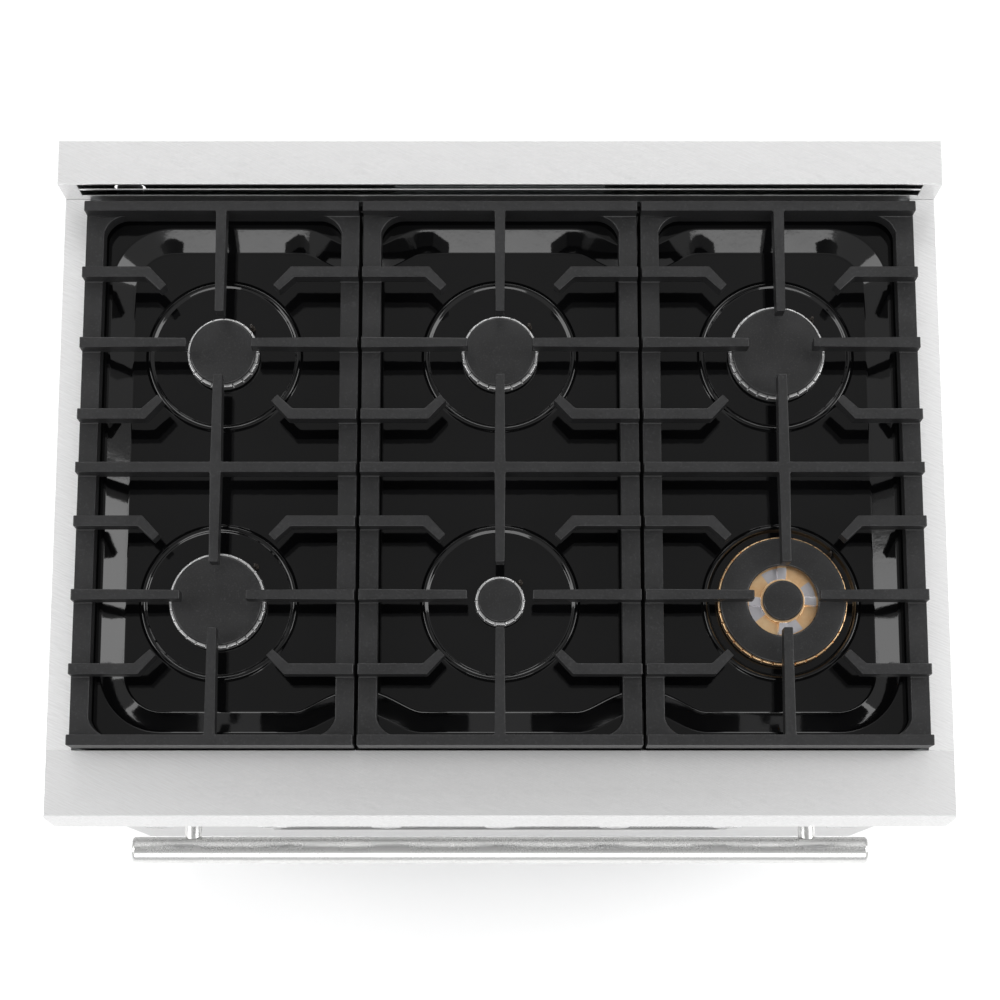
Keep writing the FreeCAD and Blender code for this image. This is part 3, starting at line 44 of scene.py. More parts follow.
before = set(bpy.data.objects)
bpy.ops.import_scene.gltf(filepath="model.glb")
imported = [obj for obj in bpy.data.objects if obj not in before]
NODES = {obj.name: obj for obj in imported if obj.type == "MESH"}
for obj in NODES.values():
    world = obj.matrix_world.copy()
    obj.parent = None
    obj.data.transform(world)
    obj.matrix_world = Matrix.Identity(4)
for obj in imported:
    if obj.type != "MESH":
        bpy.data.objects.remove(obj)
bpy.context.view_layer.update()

MM = 0.001
VIEWPOINT = (0, -0.480, 3.305)
VIEW_TILT = 11.2
FILM_WIDTH = 36
VIEW_REACH = 2.385


# ------------------------------------------------------------------ shader maths


class Value:
    """A socket of a shader node that takes part in Python arithmetic."""

    def __init__(self, finish, socket):
        self.finish = finish
        self.socket = socket

    def maths(self, operation, *others):
        return self.finish.maths(operation, self, *others)

    def __add__(self, other):
        return self.finish.maths("ADD", self, other)

    def __sub__(self, other):
        return self.finish.maths("SUBTRACT", self, other)

    def __mul__(self, other):
        return self.finish.maths("MULTIPLY", self, other)

    def __truediv__(self, other):
        return self.finish.maths("DIVIDE", self, other)

    def __pow__(self, other):
        return self.finish.maths("POWER", self, other)

    def __gt__(self, other):
        return self.finish.maths("GREATER_THAN", self, other)

    def __lt__(self, other):
        return self.finish.maths("LESS_THAN", self, other)

    def __radd__(self, other):
        return self.finish.maths("ADD", other, self)

    def __rsub__(self, other):
        return self.finish.maths("SUBTRACT", other, self)

    def __rmul__(self, other):
        return self.finish.maths("MULTIPLY", other, self)

    def __rtruediv__(self, other):
        return self.finish.maths("DIVIDE", other, self)


class Finish:
    """One material, whose pattern is written as expressions on its nodes."""

    def __init__(self, name, **constants):
        self.material = bpy.data.materials.new(name)
        self.material.use_nodes = True
        self.tree = self.material.node_tree
        self.shader = self.tree.nodes["Principled BSDF"]
        for socket, amount in constants.items():
            self.shader.inputs[socket.replace("_", " ")].default_value = amount

    def node(self, kind, settings=None, values=None, output=0):
        made = self.tree.nodes.new(kind)
        for name, setting in (settings or {}).items():
            setattr(made, name, setting)
        for name, value in (values or {}).items():
            if isinstance(value, Value):
                self.tree.links.new(value.socket, made.inputs[name])
            else:
                made.inputs[name].default_value = value
        return Value(self, made.outputs[output])

    def maths(self, operation, *operands):
        values = dict(enumerate(operands))
        return self.node("ShaderNodeMath", {"operation": operation}, values)

    def place(self, scale=(1, 1, 1), turn=(0, 0, 0), centre=(0, 0, 0)):
        """Object coordinates from a centre, turned and scaled."""
        objects = self.node("ShaderNodeTexCoord", output="Object")
        moved = self.node("ShaderNodeVectorMath", {"operation": "SUBTRACT"},
                          {0: objects, 1: centre})
        turned_round = self.node("ShaderNodeMapping", None, {"Vector": moved, "Rotation": turn})
        return self.node("ShaderNodeVectorMath", {"operation": "MULTIPLY"},
                         {0: turned_round, 1: scale})

    def noise(self, density, detail=3, roughness=0.5, **where):
        return self.node("ShaderNodeTexNoise", None, {
            "Vector": self.place(**where), "Scale": density, "Detail": detail,
            "Roughness": roughness})

    def spots(self, density, **where):
        return self.node("ShaderNodeTexVoronoi", None,
                         {"Vector": self.place(**where), "Scale": density})

    def span(self, value, low, high, to_low=0.0, to_high=1.0):
        return self.node("ShaderNodeMapRange", None, {
            "Value": value, "From Min": low, "From Max": high,
            "To Min": to_low, "To Max": to_high})

    def tint(self, first, second, amount):
        return self.node("ShaderNodeMix", {"data_type": "RGBA"},
                         {"Factor": amount, 6: solid(first), 7: solid(second)}, output=2)

    def put(self, socket, value):
        self.tree.links.new(value.socket, self.shader.inputs[socket])

    def relief(self, height, depth, strength=1.0):
        self.put("Normal", self.node("ShaderNodeBump", None, {
            "Height": height, "Distance": depth, "Strength": strength}))


def solid(colour):
    """A colour with its alpha, or a linked value as it is."""
    return colour if isinstance(colour, Value) else (*colour, 1)


def brushed(name, tone, turn=0.0, along=(1, 0, 0), rough=0.44, contrast=1.0):
    """Sheet steel brushed along one axis, with the axis turned about Z."""
    look = Finish(name, Metallic=1.0, IOR=2.5)
    scale = [1.0 if axis else 18.0 for axis in along]
    fine = look.noise(45, 4, 0.66, scale=scale, turn=(0, 0, math.radians(turn)))
    cloud = look.noise(9, 3, 0.55, scale=[1.0 if axis else 3.0 for axis in along],
                       turn=(0, 0, math.radians(turn)))
    streak = look.span(fine * 0.88 + cloud * 0.12, 0.36, 0.64)
    dark = [channel * (1 - 0.16 * contrast) for channel in tone]
    look.put("Base Color", look.tint(dark, tone, streak))
    look.put("Roughness", look.span(streak, 0, 1, rough + 0.06, rough - 0.05))
    look.relief(fine, 0.00006, 0.35)
    return look.material


def turned_metal(name, tone, rough, relief=0.00004):
    """Machined or drawn metal with faint marks and handling."""
    look = Finish(name, Metallic=1.0)
    grain = look.noise(700, 3, 0.6)
    wear = look.noise(38, 3, 0.6)
    blend = look.span(grain * 0.4 + wear * 0.6, 0.3, 0.7)
    look.put("Base Color", look.tint([channel * 0.86 for channel in tone], tone, blend))
    look.put("Roughness", look.span(blend, 0, 1, rough + 0.07, rough - 0.04))
    look.relief(grain, relief, 0.4)
    return look.material


def cast_black(name, tone, rough, pits, depth):
    """Enamelled casting: matte black with a fine sandy grain."""
    look = Finish(name, IOR=1.42)
    grain = look.noise(pits, 4, 0.65)
    patch = look.noise(26, 3, 0.6)
    speck = look.span(look.noise(pits * 0.7, 2, 0.5), 0.58, 0.68)
    body = look.tint([channel * 0.6 for channel in tone], [channel * 1.25 for channel in tone],
                     look.span(patch * 0.5 + grain * 0.5, 0.35, 0.65))
    look.put("Base Color", look.tint(body, [channel * 2.6 for channel in tone], speck * 0.5))
    look.put("Roughness", look.span(grain, 0.3, 0.7, rough - 0.07, rough + 0.07))
    look.relief(grain * 0.7 + patch * 0.3, depth, 0.55)
    return look.material


def gloss_black():
    """Porcelain enamel on the pressed tray: deep black, with a faint ripple in its gloss."""
    look = Finish("tray_enamel", Base_Color=(0.002, 0.002, 0.0022, 1), IOR=1.42)
    ripple = look.noise(34, 2, 0.5)
    peel = look.noise(320, 2, 0.5)
    look.put("Roughness", look.span(look.noise(9, 3, 0.6), 0.3, 0.7, 0.045, 0.09))
    look.relief(ripple * 0.85 + peel * 0.15, 0.00022, 0.5)
    return look.material


def oven_enamel():
    """Speckled blue-black enamel inside the oven."""
    look = Finish("oven_enamel", IOR=1.5)
    specks = look.span(look.spots(420), 0.16, 0.24, 1, 0)
    deep = look.tint((0.012, 0.014, 0.022), (0.02, 0.023, 0.034), look.noise(12, 2, 0.5))
    look.put("Base Color", look.tint(deep, (0.42, 0.44, 0.48), specks * 0.5))
    look.put("Roughness", look.span(look.noise(60, 2, 0.5), 0.3, 0.7, 0.12, 0.2))
    look.relief(look.noise(140, 2, 0.5), 0.0001, 0.4)
    return look.material


def galvanised():
    """Zinc-coated sheet with its crystal spangle."""
    look = Finish("galvanised_sheet", Metallic=0.9)
    cells = look.node("ShaderNodeTexVoronoi", {"feature": "F1"},
                      {"Vector": look.place(), "Scale": 150}, output="Color")
    grey = look.node("ShaderNodeRGBToBW", None, {"Color": cells})
    look.put("Base Color", look.tint((0.42, 0.44, 0.45), (0.52, 0.54, 0.55), grey))
    look.put("Roughness", look.span(grey, 0, 1, 0.38, 0.58))
    look.relief(look.noise(500, 2, 0.5), 0.00005, 0.4)
    return look.material


def dual_brass(centre):
    """Brass head of the two-ring burner, its floor left as grey castings between the arms."""
    look = Finish("dual_burner_brass", Metallic=1.0)
    where = look.place(centre=centre)
    parts = look.node("ShaderNodeSeparateXYZ", None, {"Vector": where})
    across, depth = (Value(look, parts.socket.node.outputs[i]) for i in range(2))
    angle = depth.maths("ARCTAN2", across)
    arms, arm_turn = 4, 0.6
    floor_inner, floor_outer = 22.5 * MM, 34.5 * MM
    lobes = (angle * arms + arm_turn).maths("SINE")
    reach = (across * across + depth * depth) ** 0.5
    grey = look.span(lobes, -0.1, 0.05) * (reach < floor_outer) * (reach > floor_inner)
    heat = look.noise(60, 3, 0.6)
    warm = look.tint((0.80, 0.50, 0.26), (0.95, 0.68, 0.40), look.span(heat, 0.3, 0.7))
    look.put("Base Color", look.tint(warm, (0.60, 0.59, 0.62), grey))
    look.put("Roughness", look.span(heat, 0.3, 0.7, 0.38, 0.28))
    look.relief(look.noise(900, 2, 0.5), 0.00004, 0.4)
    return look.material


def wool():
    """Mineral wool blanket."""
    look = Finish("mineral_wool", Roughness=0.95)
    fibre = look.noise(260, 5, 0.75, scale=(1, 3, 1))
    look.put("Base Color", look.tint((0.52, 0.47, 0.33), (0.80, 0.76, 0.62),
                                     look.span(fibre, 0.3, 0.7)))
    look.relief(fibre, 0.001, 0.8)
    return look.material


def braid():
    """Braided glass-fibre rope of the door seal."""
    look = Finish("seal_braid", Roughness=0.85)
    warp = look.node("ShaderNodeTexWave", {"wave_type": "BANDS", "bands_direction": "DIAGONAL"},
                     {"Vector": look.place(), "Scale": 130, "Distortion": 0.5}, output="Fac")
    look.put("Base Color", look.tint((0.035, 0.035, 0.035), (0.14, 0.14, 0.135), warp))
    look.relief(warp, 0.0005, 0.9)
    return look.material


def glass(name, tone, alpha, rough=0.03):
    """Tempered glass, seen through by its alpha."""
    look = Finish(name, Base_Color=(*tone, 1), Alpha=alpha, IOR=1.5)
    smear = look.noise(9, 3, 0.6)
    look.put("Roughness", look.span(smear, 0.3, 0.7, rough, rough + 0.05))
    return look.material


def window_glass():
    """Tinted oven window with a printed black border that breaks up into dots."""
    look = Finish("window_tint", Base_Color=(0.010, 0.010, 0.012, 1), IOR=1.5)
    low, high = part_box("door_outer_glass")
    centre = (low + high) / 2
    parts = look.node("ShaderNodeSeparateXYZ", None, {"Vector": look.place(centre=centre)})
    across, _, up = (Value(look, parts.socket.node.outputs[i]) for i in range(3))
    pitch, border = 5 * MM, 14 * MM
    dots_start, dots_end = 16 * MM, 34 * MM
    side = (high.x - low.x) / 2 - across.maths("ABSOLUTE")
    end = (high.z - low.z) / 2 - up.maths("ABSOLUTE")
    inward = side.maths("MINIMUM", end) - border
    column = (across / pitch).maths("FRACT") - 0.5
    row = (up / pitch).maths("FRACT") - 0.5
    dot = (column * column + row * row) ** 0.5
    grown = look.span(inward, dots_start, dots_end, 0.75, 0.1)
    printed = dot < grown
    look.put("Alpha", look.span(printed, 0, 1, 0.50, 0.985))
    look.put("Roughness", look.span(look.noise(9, 3, 0.6), 0.3, 0.7, 0.03, 0.08))
    return look.material


def ceramic():
    """Dark glazed insulator, browned by heat."""
    look = Finish("insulator_glaze", IOR=1.5)
    stain = look.noise(240, 3, 0.6)
    look.put("Base Color", look.tint((0.022, 0.018, 0.015), (0.05, 0.042, 0.036), stain))
    look.put("Roughness", look.span(stain, 0, 1, 0.28, 0.18))
    return look.material


# ------------------------------------------------------------------ modelling


def select_only(piece):
    bpy.ops.object.select_all(action="DESELECT")
    piece.select_set(True)
    bpy.context.view_layer.objects.active = piece


def merged_copy(node, label):
    """A copy of a CAD part, its loose triangles joined into whole faces where they stay true."""
    piece = bpy.data.objects.new(label, NODES[node].data.copy())
    bpy.context.scene.collection.objects.link(piece)
    select_only(piece)
    bpy.ops.object.mode_set(mode="EDIT")
    bpy.ops.mesh.select_all(action="SELECT")
    bpy.ops.mesh.remove_doubles(threshold=2e-6)
    bpy.ops.object.mode_set(mode="OBJECT")
    loose = piece.data.copy()
    before = shown_area(piece.data)
    bpy.ops.object.mode_set(mode="EDIT")
    bpy.ops.mesh.select_all(action="SELECT")
    bpy.ops.mesh.dissolve_limited(angle_limit=math.radians(0.4))
    bpy.ops.object.mode_set(mode="OBJECT")
    if abs(shown_area(piece.data) / before - 1) > 1e-4:
        piece.data = loose
    bpy.ops.object.mode_set(mode="EDIT")
    bpy.ops.mesh.select_all(action="SELECT")
    bpy.ops.mesh.quads_convert_to_tris(quad_method="BEAUTY", ngon_method="BEAUTY")
    bpy.ops.object.mode_set(mode="OBJECT")
    return piece


def shown_area(mesh):
    """The area of a mesh as it is drawn, triangle by triangle."""
    mesh.calc_loop_triangles()
    return sum(triangle.area for triangle in mesh.loop_triangles)


def round_edges(piece, width, segments=3, angle=28, sheet=False):
    """Round every edge sharper than an angle. Sheet metal keeps flat shading on its flats."""
    select_only(piece)
    bevel = piece.modifiers.new("rounding", "BEVEL")
    bevel.width = width
    bevel.segments = segments
    bevel.limit_method = "ANGLE"
    bevel.angle_limit = math.radians(angle)
    bevel.use_clamp_overlap = False
    bpy.ops.object.modifier_apply(modifier=bevel.name)
    if sheet:
        bpy.ops.object.shade_flat()
    else:
        smooth(piece)


def round_chosen_edges(piece, width, chosen, segments=3):
    """Round the sharp edges that a test of their two ends picks, and leave the others sharp."""
    select_only(piece)
    bpy.ops.object.mode_set(mode="EDIT")
    bpy.ops.mesh.select_mode(type="EDGE")
    bpy.ops.mesh.select_all(action="DESELECT")
    bpy.ops.mesh.edges_select_sharp(sharpness=math.radians(28))
    bpy.ops.object.mode_set(mode="OBJECT")
    corners = piece.data.vertices
    for edge in piece.data.edges:
        start, end = (corners[number].co for number in edge.vertices)
        if not chosen(start, end):
            edge.select = False
    bpy.ops.object.mode_set(mode="EDIT")
    bpy.ops.mesh.bevel(offset=width, segments=segments, affect="EDGES")
    bpy.ops.object.mode_set(mode="OBJECT")


def smooth(piece, angle=38):
    select_only(piece)
    bpy.ops.object.shade_smooth_by_angle(angle=math.radians(angle))
    weigh = piece.modifiers.new("flat faces", "WEIGHTED_NORMAL")
    weigh.keep_sharp = True
    bpy.ops.object.modifier_apply(modifier=weigh.name)


def paint(piece, material):
    piece.data.materials.clear()
    piece.data.materials.append(material)


def settle(piece, body, slot, material, *nodes):
    """Give a finished piece its material, its body and the CAD parts it stands for."""
    paint(piece, material)
    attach(piece, body)
    if nodes:
        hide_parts(*nodes)
    return piece


def dress(node, material):
    """Keep a CAD part's shape and give it a finish."""
    paint(NODES[node], material)


def rounded_part(node, body, slot, material, width, segments=3, angle=28, sheet=False):
    piece = merged_copy(node, node + "_finished")
    round_edges(piece, width, segments, angle, sheet)
    return settle(piece, body, slot, material, node)


def paint_tops(piece, material, level):
    """Give the upward faces above a level a second material; on the side panels this is a
    brighter copy of the steel, a painted highlight.
    """
    piece.data.materials.append(material)
    for face in piece.data.polygons:
        if face.normal.z > 0.7 and face.center.z > level:
            face.material_index = 1


def turned(label, centre, profile, count=72, axis="Z"):
    """Turn a closed profile of radius and height pairs about an axis through the centre."""
    start, level = profile[0]
    bpy.ops.object.select_all(action="DESELECT")
    bpy.ops.mesh.primitive_circle_add(vertices=count, radius=start, fill_type="NOTHING",
                                      location=(0, 0, level))
    piece = bpy.context.active_object
    piece.name = label
    bpy.ops.object.transform_apply(location=True)
    bpy.ops.object.mode_set(mode="EDIT")
    bpy.ops.mesh.select_all(action="SELECT")
    before, below = start, level
    for radius, height in profile[1:]:
        bpy.ops.mesh.extrude_region_move(
            TRANSFORM_OT_translate={"value": (0, 0, height - below)})
        ratio = radius / before
        bpy.ops.transform.resize(value=(ratio, ratio, 1), center_override=(0, 0, height))
        before, below = radius, height
    bpy.ops.mesh.select_all(action="SELECT")
    bpy.ops.mesh.remove_doubles(threshold=1e-5)
    bpy.ops.mesh.fill_holes(sides=0)
    bpy.ops.mesh.select_all(action="SELECT")
    bpy.ops.mesh.normals_make_consistent(inside=False)
    bpy.ops.object.mode_set(mode="OBJECT")
    if axis == "X":
        piece.rotation_euler = (0, math.radians(90), 0)
    piece.location = centre
    select_only(piece)
    bpy.ops.object.transform_apply(location=True, rotation=True, scale=True)
    return piece


def middle(node):
    low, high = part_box(node)
    return (low + high) / 2


# ------------------------------------------------------------------ pressed tray


def well_outline(low, high):
    """The well's rim: a rounded rectangle pinched in between the three pairs of burners."""
    side_land, front_land, rear_land = 25.5 * MM, 18.5 * MM, 31 * MM
    west, east = low.x + side_land, high.x - side_land
    south, north = low.y + front_land, high.y - rear_land
    radius, pinch, reach = 62 * MM, 66 * MM, 22 * MM
    joints = [(middle("grate_left").x + middle("grate_centre").x) / 2,
              (middle("grate_right").x + middle("grate_centre").x) / 2]

    def bulge(x):
        near = min(abs(x - joint) for joint in joints)
        return reach * math.cos(math.pi / 2 * near / pinch) ** 2 if near < pinch else 0.0

    def corner(x, y, start):
        turns = (math.radians(start + 90 * step / bends) for step in range(bends + 1))
        return [(x + radius * math.cos(turn), y + radius * math.sin(turn)) for turn in turns]

    bends, runs, side_runs = 14, 110, 40
    left, right = west + radius, east - radius
    across = [left + (right - left) * step / runs for step in range(1, runs)]
    side = north - south - 2 * radius
    down = [north - radius - side * step / side_runs for step in range(1, side_runs)]
    outline = corner(east - radius, north - radius, 0)
    outline += [(x, north - bulge(x)) for x in reversed(across)]
    outline += corner(west + radius, north - radius, 90)
    outline += [(west, y) for y in down]
    outline += corner(west + radius, south + radius, 180)
    outline += [(x, south + bulge(x)) for x in across]
    outline += corner(east - radius, south + radius, 270)
    outline += [(east, y) for y in reversed(down)]
    return outline


def flange_edge(point, low, high):
    """The point of the flange's rectangle that lies straight out from a point of the rim."""
    half_x, half_y = (high.x - low.x) / 2, (high.y - low.y) / 2
    x, y = point[0] - (low.x + high.x) / 2, point[1] - (low.y + high.y) / 2
    corner_reach_x, corner_reach_y = 87 * MM, 90 * MM
    corner_x, corner_y = half_x - corner_reach_x, half_y - corner_reach_y
    if abs(x) > corner_x and abs(y) > corner_y:
        out_x = (abs(x) - corner_x) / (half_x - corner_x)
        out_y = (abs(y) - corner_y) / (half_y - corner_y)
        reach = 1 / max(out_x, out_y)
        x = math.copysign(corner_x + (abs(x) - corner_x) * reach, x)
        y = math.copysign(corner_y + (abs(y) - corner_y) * reach, y)
    elif abs(x) > corner_x:
        x = math.copysign(half_x, x)
    else:
        y = math.copysign(half_y, y)
    return x + (low.x + high.x) / 2, y + (low.y + high.y) / 2


def level_ring(outline, level):
    return [Vector((x, y, level)) for x, y in outline]


def inset_outline(outline, inward):
    """An outline moved in by the same distance all round."""
    moved = []
    for number, (x, y) in enumerate(outline):
        before, after = outline[number - 1], outline[(number + 1) % len(outline)]
        along = Vector((after[0] - before[0], after[1] - before[1])).normalized()
        moved.append((x - along.y * inward, y + along.x * inward))
    return moved


def sheet_of_rings(label, rings):
    """A sheet extruded from ring to ring, its last ring filled with a face."""
    bpy.ops.object.select_all(action="DESELECT")
    bpy.ops.mesh.primitive_circle_add(vertices=len(rings[0]), fill_type="NOTHING")
    piece = bpy.context.active_object
    piece.name = label
    bpy.ops.object.mode_set(mode="EDIT")
    bpy.ops.mesh.select_all(action="SELECT")
    for _ in rings[1:]:
        bpy.ops.mesh.extrude_region_move()
    bpy.ops.mesh.edge_face_add()
    bpy.ops.object.mode_set(mode="OBJECT")
    count = len(rings[0])
    for number, vertex in enumerate(piece.data.vertices):
        vertex.co = rings[number // count][number % count]
    piece.data.update()
    return piece


def wall_thickness(piece, thick):
    """Give a sheet its thickness on its lower side."""
    select_only(piece)
    bpy.ops.object.mode_set(mode="EDIT")
    bpy.ops.mesh.select_all(action="SELECT")
    bpy.ops.mesh.normals_make_consistent(inside=False)
    bpy.ops.object.mode_set(mode="OBJECT")
    if piece.data.polygons[-1].normal.z < 0:
        piece.data.flip_normals()
    wall = piece.modifiers.new("wall", "SOLIDIFY")
    wall.thickness = thick
    wall.offset = -1
    bpy.ops.object.modifier_apply(modifier=wall.name)


def join(piece, others):
    bpy.ops.object.select_all(action="DESELECT")
    for other in others:
        other.select_set(True)
    piece.select_set(True)
    bpy.context.view_layer.objects.active = piece
    bpy.ops.object.join()


def pan_ring(centre, floor):
    """The low ridge pressed round a burner."""
    inner, outer, rise = 73.6 * MM, 82.4 * MM, 2.3 * MM
    crest, half = (inner + outer) / 2, (outer - inner) / 2
    profile = []
    for step in range(-6, 7):
        across = step / 6
        lift = math.cos(across * math.pi / 2) ** 1.3
        profile.append((crest + across * half, rise * lift - 0.05 * MM))
    profile.append((inner, -0.5 * MM))
    profile.append((outer, -0.5 * MM))
    return turned_ring("pan_ring", (centre.x, centre.y, floor), profile)


def turned_ring(label, centre, profile, count=96):
    """Turn a closed outline, whose last point joins its first, about a vertical axis."""
    rings = [[Vector((centre[0] + radius * math.cos(math.tau * step / count),
                      centre[1] + radius * math.sin(math.tau * step / count),
                      centre[2] + height)) for step in range(count)]
             for radius, height in profile]
    rings.append(rings[0])
    bpy.ops.object.select_all(action="DESELECT")
    bpy.ops.mesh.primitive_circle_add(vertices=count, fill_type="NOTHING")
    piece = bpy.context.active_object
    piece.name = label
    bpy.ops.object.mode_set(mode="EDIT")
    bpy.ops.mesh.select_all(action="SELECT")
    for _ in rings[1:]:
        bpy.ops.mesh.extrude_region_move()
    bpy.ops.object.mode_set(mode="OBJECT")
    for number, vertex in enumerate(piece.data.vertices):
        vertex.co = rings[number // count][number % count]
    piece.data.update()
    select_only(piece)
    bpy.ops.object.mode_set(mode="EDIT")
    bpy.ops.mesh.select_all(action="SELECT")
    bpy.ops.mesh.remove_doubles(threshold=1e-6)
    bpy.ops.mesh.normals_make_consistent(inside=False)
    bpy.ops.object.mode_set(mode="OBJECT")
    return piece


# ------------------------------------------------------------------ sizes and colours


class RangeLooks(bpy.types.PropertyGroup):
    """Sizes and colours of the range that are set by taste."""

    casting_edge: bpy.props.FloatProperty(
        name="Casting edge", description="Rounding of the grates' edges",
        default=0.0013, unit="LENGTH")
    press_edge: bpy.props.FloatProperty(
        name="Pressed edge", description="Rounding of the tray's pressed bends",
        default=0.0035, unit="LENGTH")
    sheet_edge: bpy.props.FloatProperty(
        name="Sheet edge", description="Rounding of folded sheet metal",
        default=0.0007, unit="LENGTH")
    steel: bpy.props.FloatVectorProperty(
        name="Steel", description="Colour of the stainless sheet", subtype="COLOR",
        default=(0.80, 0.80, 0.80), size=3, min=0, max=1)
    # Painted shade: the door, the panel and the sides are the same stainless as the top, given
    # this darker copy to tone down the bright front light on them.
    shaded_front_steel: bpy.props.FloatVectorProperty(
        name="Front steel", description="Colour of the door, the panel and the sides",
        subtype="COLOR", default=(0.60, 0.60, 0.60), size=3, min=0, max=1)
    iron: bpy.props.FloatVectorProperty(
        name="Iron", description="Colour of the enamelled castings", subtype="COLOR",
        default=(0.0115, 0.0115, 0.012), size=3, min=0, max=1)
    cap_colour: bpy.props.FloatVectorProperty(
        name="Caps", description="Colour of the burner caps", subtype="COLOR",
        default=(0.0145, 0.0145, 0.015), size=3, min=0, max=1)


class RangePiece:
    """What every operator of the range shares."""

    bl_options = {"REGISTER", "UNDO"}

    def execute(self, context):
        self.build(context.scene.range_looks)
        return {"FINISHED"}


class RANGE_OT_grates(RangePiece, bpy.types.Operator):
    """Model the three cast grates"""

    bl_idname = "range.grates"
    bl_label = "Cast grates"

    def build(self, looks):
        iron = cast_black("grate_iron", looks.iron, 0.44, 620, 0.00022)
        for side in ("left", "centre", "right"):
            piece = merged_copy("grate_" + side, f"grate_{side}_casting")
            round_edges(piece, looks.casting_edge, 3)
            settle(piece, side + "_grate", "cast_grate", iron, "grate_" + side)


class RANGE_OT_tray(RangePiece, bpy.types.Operator):
    """Model the pressed and enamelled cooktop tray"""

    bl_idname = "range.tray"
    bl_label = "Cooktop tray"

    def build(self, looks):
        low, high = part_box("cooktop_tray")
        well_depth, wall = 15 * MM, 22 * MM
        deck, floor = high.z, high.z - well_depth
        rim = well_outline(low, high)
        plate = [flange_edge(point, low, high) for point in rim]
        rings = [level_ring(plate, deck)]
        bend, slope = looks.press_edge, math.atan2(well_depth, wall)
        # Rounded over at the rim, straight down the wall, rounded out onto the floor.
        profile = [(-bend * 1.2, deck)]
        for step in range(5):
            turn = slope * (step + 1) / 5
            profile.append((bend * (math.sin(turn) - 0.6), deck - bend * (1 - math.cos(turn))))
        foot = bend * 1.6
        for step in range(6):
            turn = slope * (1 - step / 5)
            profile.append((wall - foot * math.sin(turn) + 1.5 * MM,
                            floor + foot * (1 - math.cos(turn))))
        rings += [level_ring(inset_outline(rim, inward), level) for inward, level in profile]
        piece = sheet_of_rings("cooktop_tray_pressing", rings)
        wall_thickness(piece, 1.1 * MM)
        rings = []
        for side in ("left", "centre", "right"):
            for row in ("rear", "front"):
                cap = f"cap_{row}_{side}"
                cap = cap if cap in NODES else "cap_front_right_ring"
                rings.append(pan_ring(middle(cap), floor))
        join(piece, rings)
        smooth(piece, 50)
        settle(piece, "range_body", "enamel_black", gloss_black(), "cooktop_tray")


class RANGE_OT_caps(RangePiece, bpy.types.Operator):
    """Model the burner caps"""

    bl_idname = "range.caps"
    bl_label = "Burner caps"

    def build(self, looks):
        black = cast_black("cap_enamel", looks.cap_colour, 0.36, 900, 0.00006)
        for node in ("cap_rear_left", "cap_rear_centre", "cap_rear_right",
                     "cap_front_left", "cap_front_centre", "cap_front_right_inner",
                     "cap_front_right_ring"):
            body = node.replace("cap_", "") + "_cap"
            rounded_part(node, body, "cap_enamel", black, 0.0007, 3)


class RANGE_OT_burners(RangePiece, bpy.types.Operator):
    """Model the burner heads, bases and igniters"""

    bl_idname = "range.burners"
    bl_label = "Burners"

    def build(self, looks):
        bright = turned_metal("head_aluminium", (0.80, 0.80, 0.80), 0.34)
        rounded_part("burner_heads", "range_body", "head_aluminium", bright, 0.0004, 2)
        brass = dual_brass(middle("brass_burner_head"))
        rounded_part("brass_burner_head", "range_body", "brass", brass, 0.0004, 2)
        dress("burner_bases", turned_metal("burner_base", (0.55, 0.55, 0.55), 0.5))
        rounded_part("spark_electrodes", "range_body", "ceramic_glaze", ceramic(), 0.0004, 3)


class RANGE_OT_worktop_steel(RangePiece, bpy.types.Operator):
    """Model the ledge, the backguard and the side panels"""

    bl_idname = "range.worktop_steel"
    bl_label = "Ledge, backguard and sides"

    def build(self, looks):
        top = brushed("steel_top", looks.steel, turn=24)
        # Painted highlight: the side panels' tops are the same stainless as the ledge, painted
        # 12 % brighter for the light that falls on them.
        lit_trim = brushed("steel_trim_painted_highlight", [channel * 1.12 for channel in looks.steel], turn=24)
        # The sides take the darker copy of the steel, which is painted shade.
        side = brushed("steel_side", looks.shaded_front_steel, along=(0, 0, 1))
        rounded_part("front_ledge", "range_body", "stainless", top, looks.sheet_edge, sheet=True)
        rounded_part("backguard", "range_body", "stainless", top, looks.sheet_edge, sheet=True)
        for hand in ("left", "right"):
            panel = rounded_part("side_panel_" + hand, "range_body", "stainless_side", side,
                                 0.0003, 2, sheet=True)
            paint_tops(panel, lit_trim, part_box("side_panel_" + hand)[1].z - 3 * MM)


class RANGE_OT_body(RangePiece, bpy.types.Operator):
    """Finish the frame, the back, the kick panel and the legs"""

    bl_idname = "range.body"
    bl_label = "Frame, back and legs"

    def build(self, looks):
        zinc = galvanised()
        # The kick panel takes the darker copy of the steel, which is painted shade.
        front = brushed("steel_front", looks.shaded_front_steel, along=(1, 0, 0))
        for node in ("base_frame", "rear_panel", "flue_duct"):
            dress(node, zinc)
        rounded_part("kick_panel", "range_body", "stainless", front, 0.0003, 2, sheet=True)
        leg = turned_metal("leg_metal", (0.70, 0.70, 0.70), 0.3)
        rounded_part("levelling_legs", "range_body", "leg_metal", leg, 0.0008, 3)


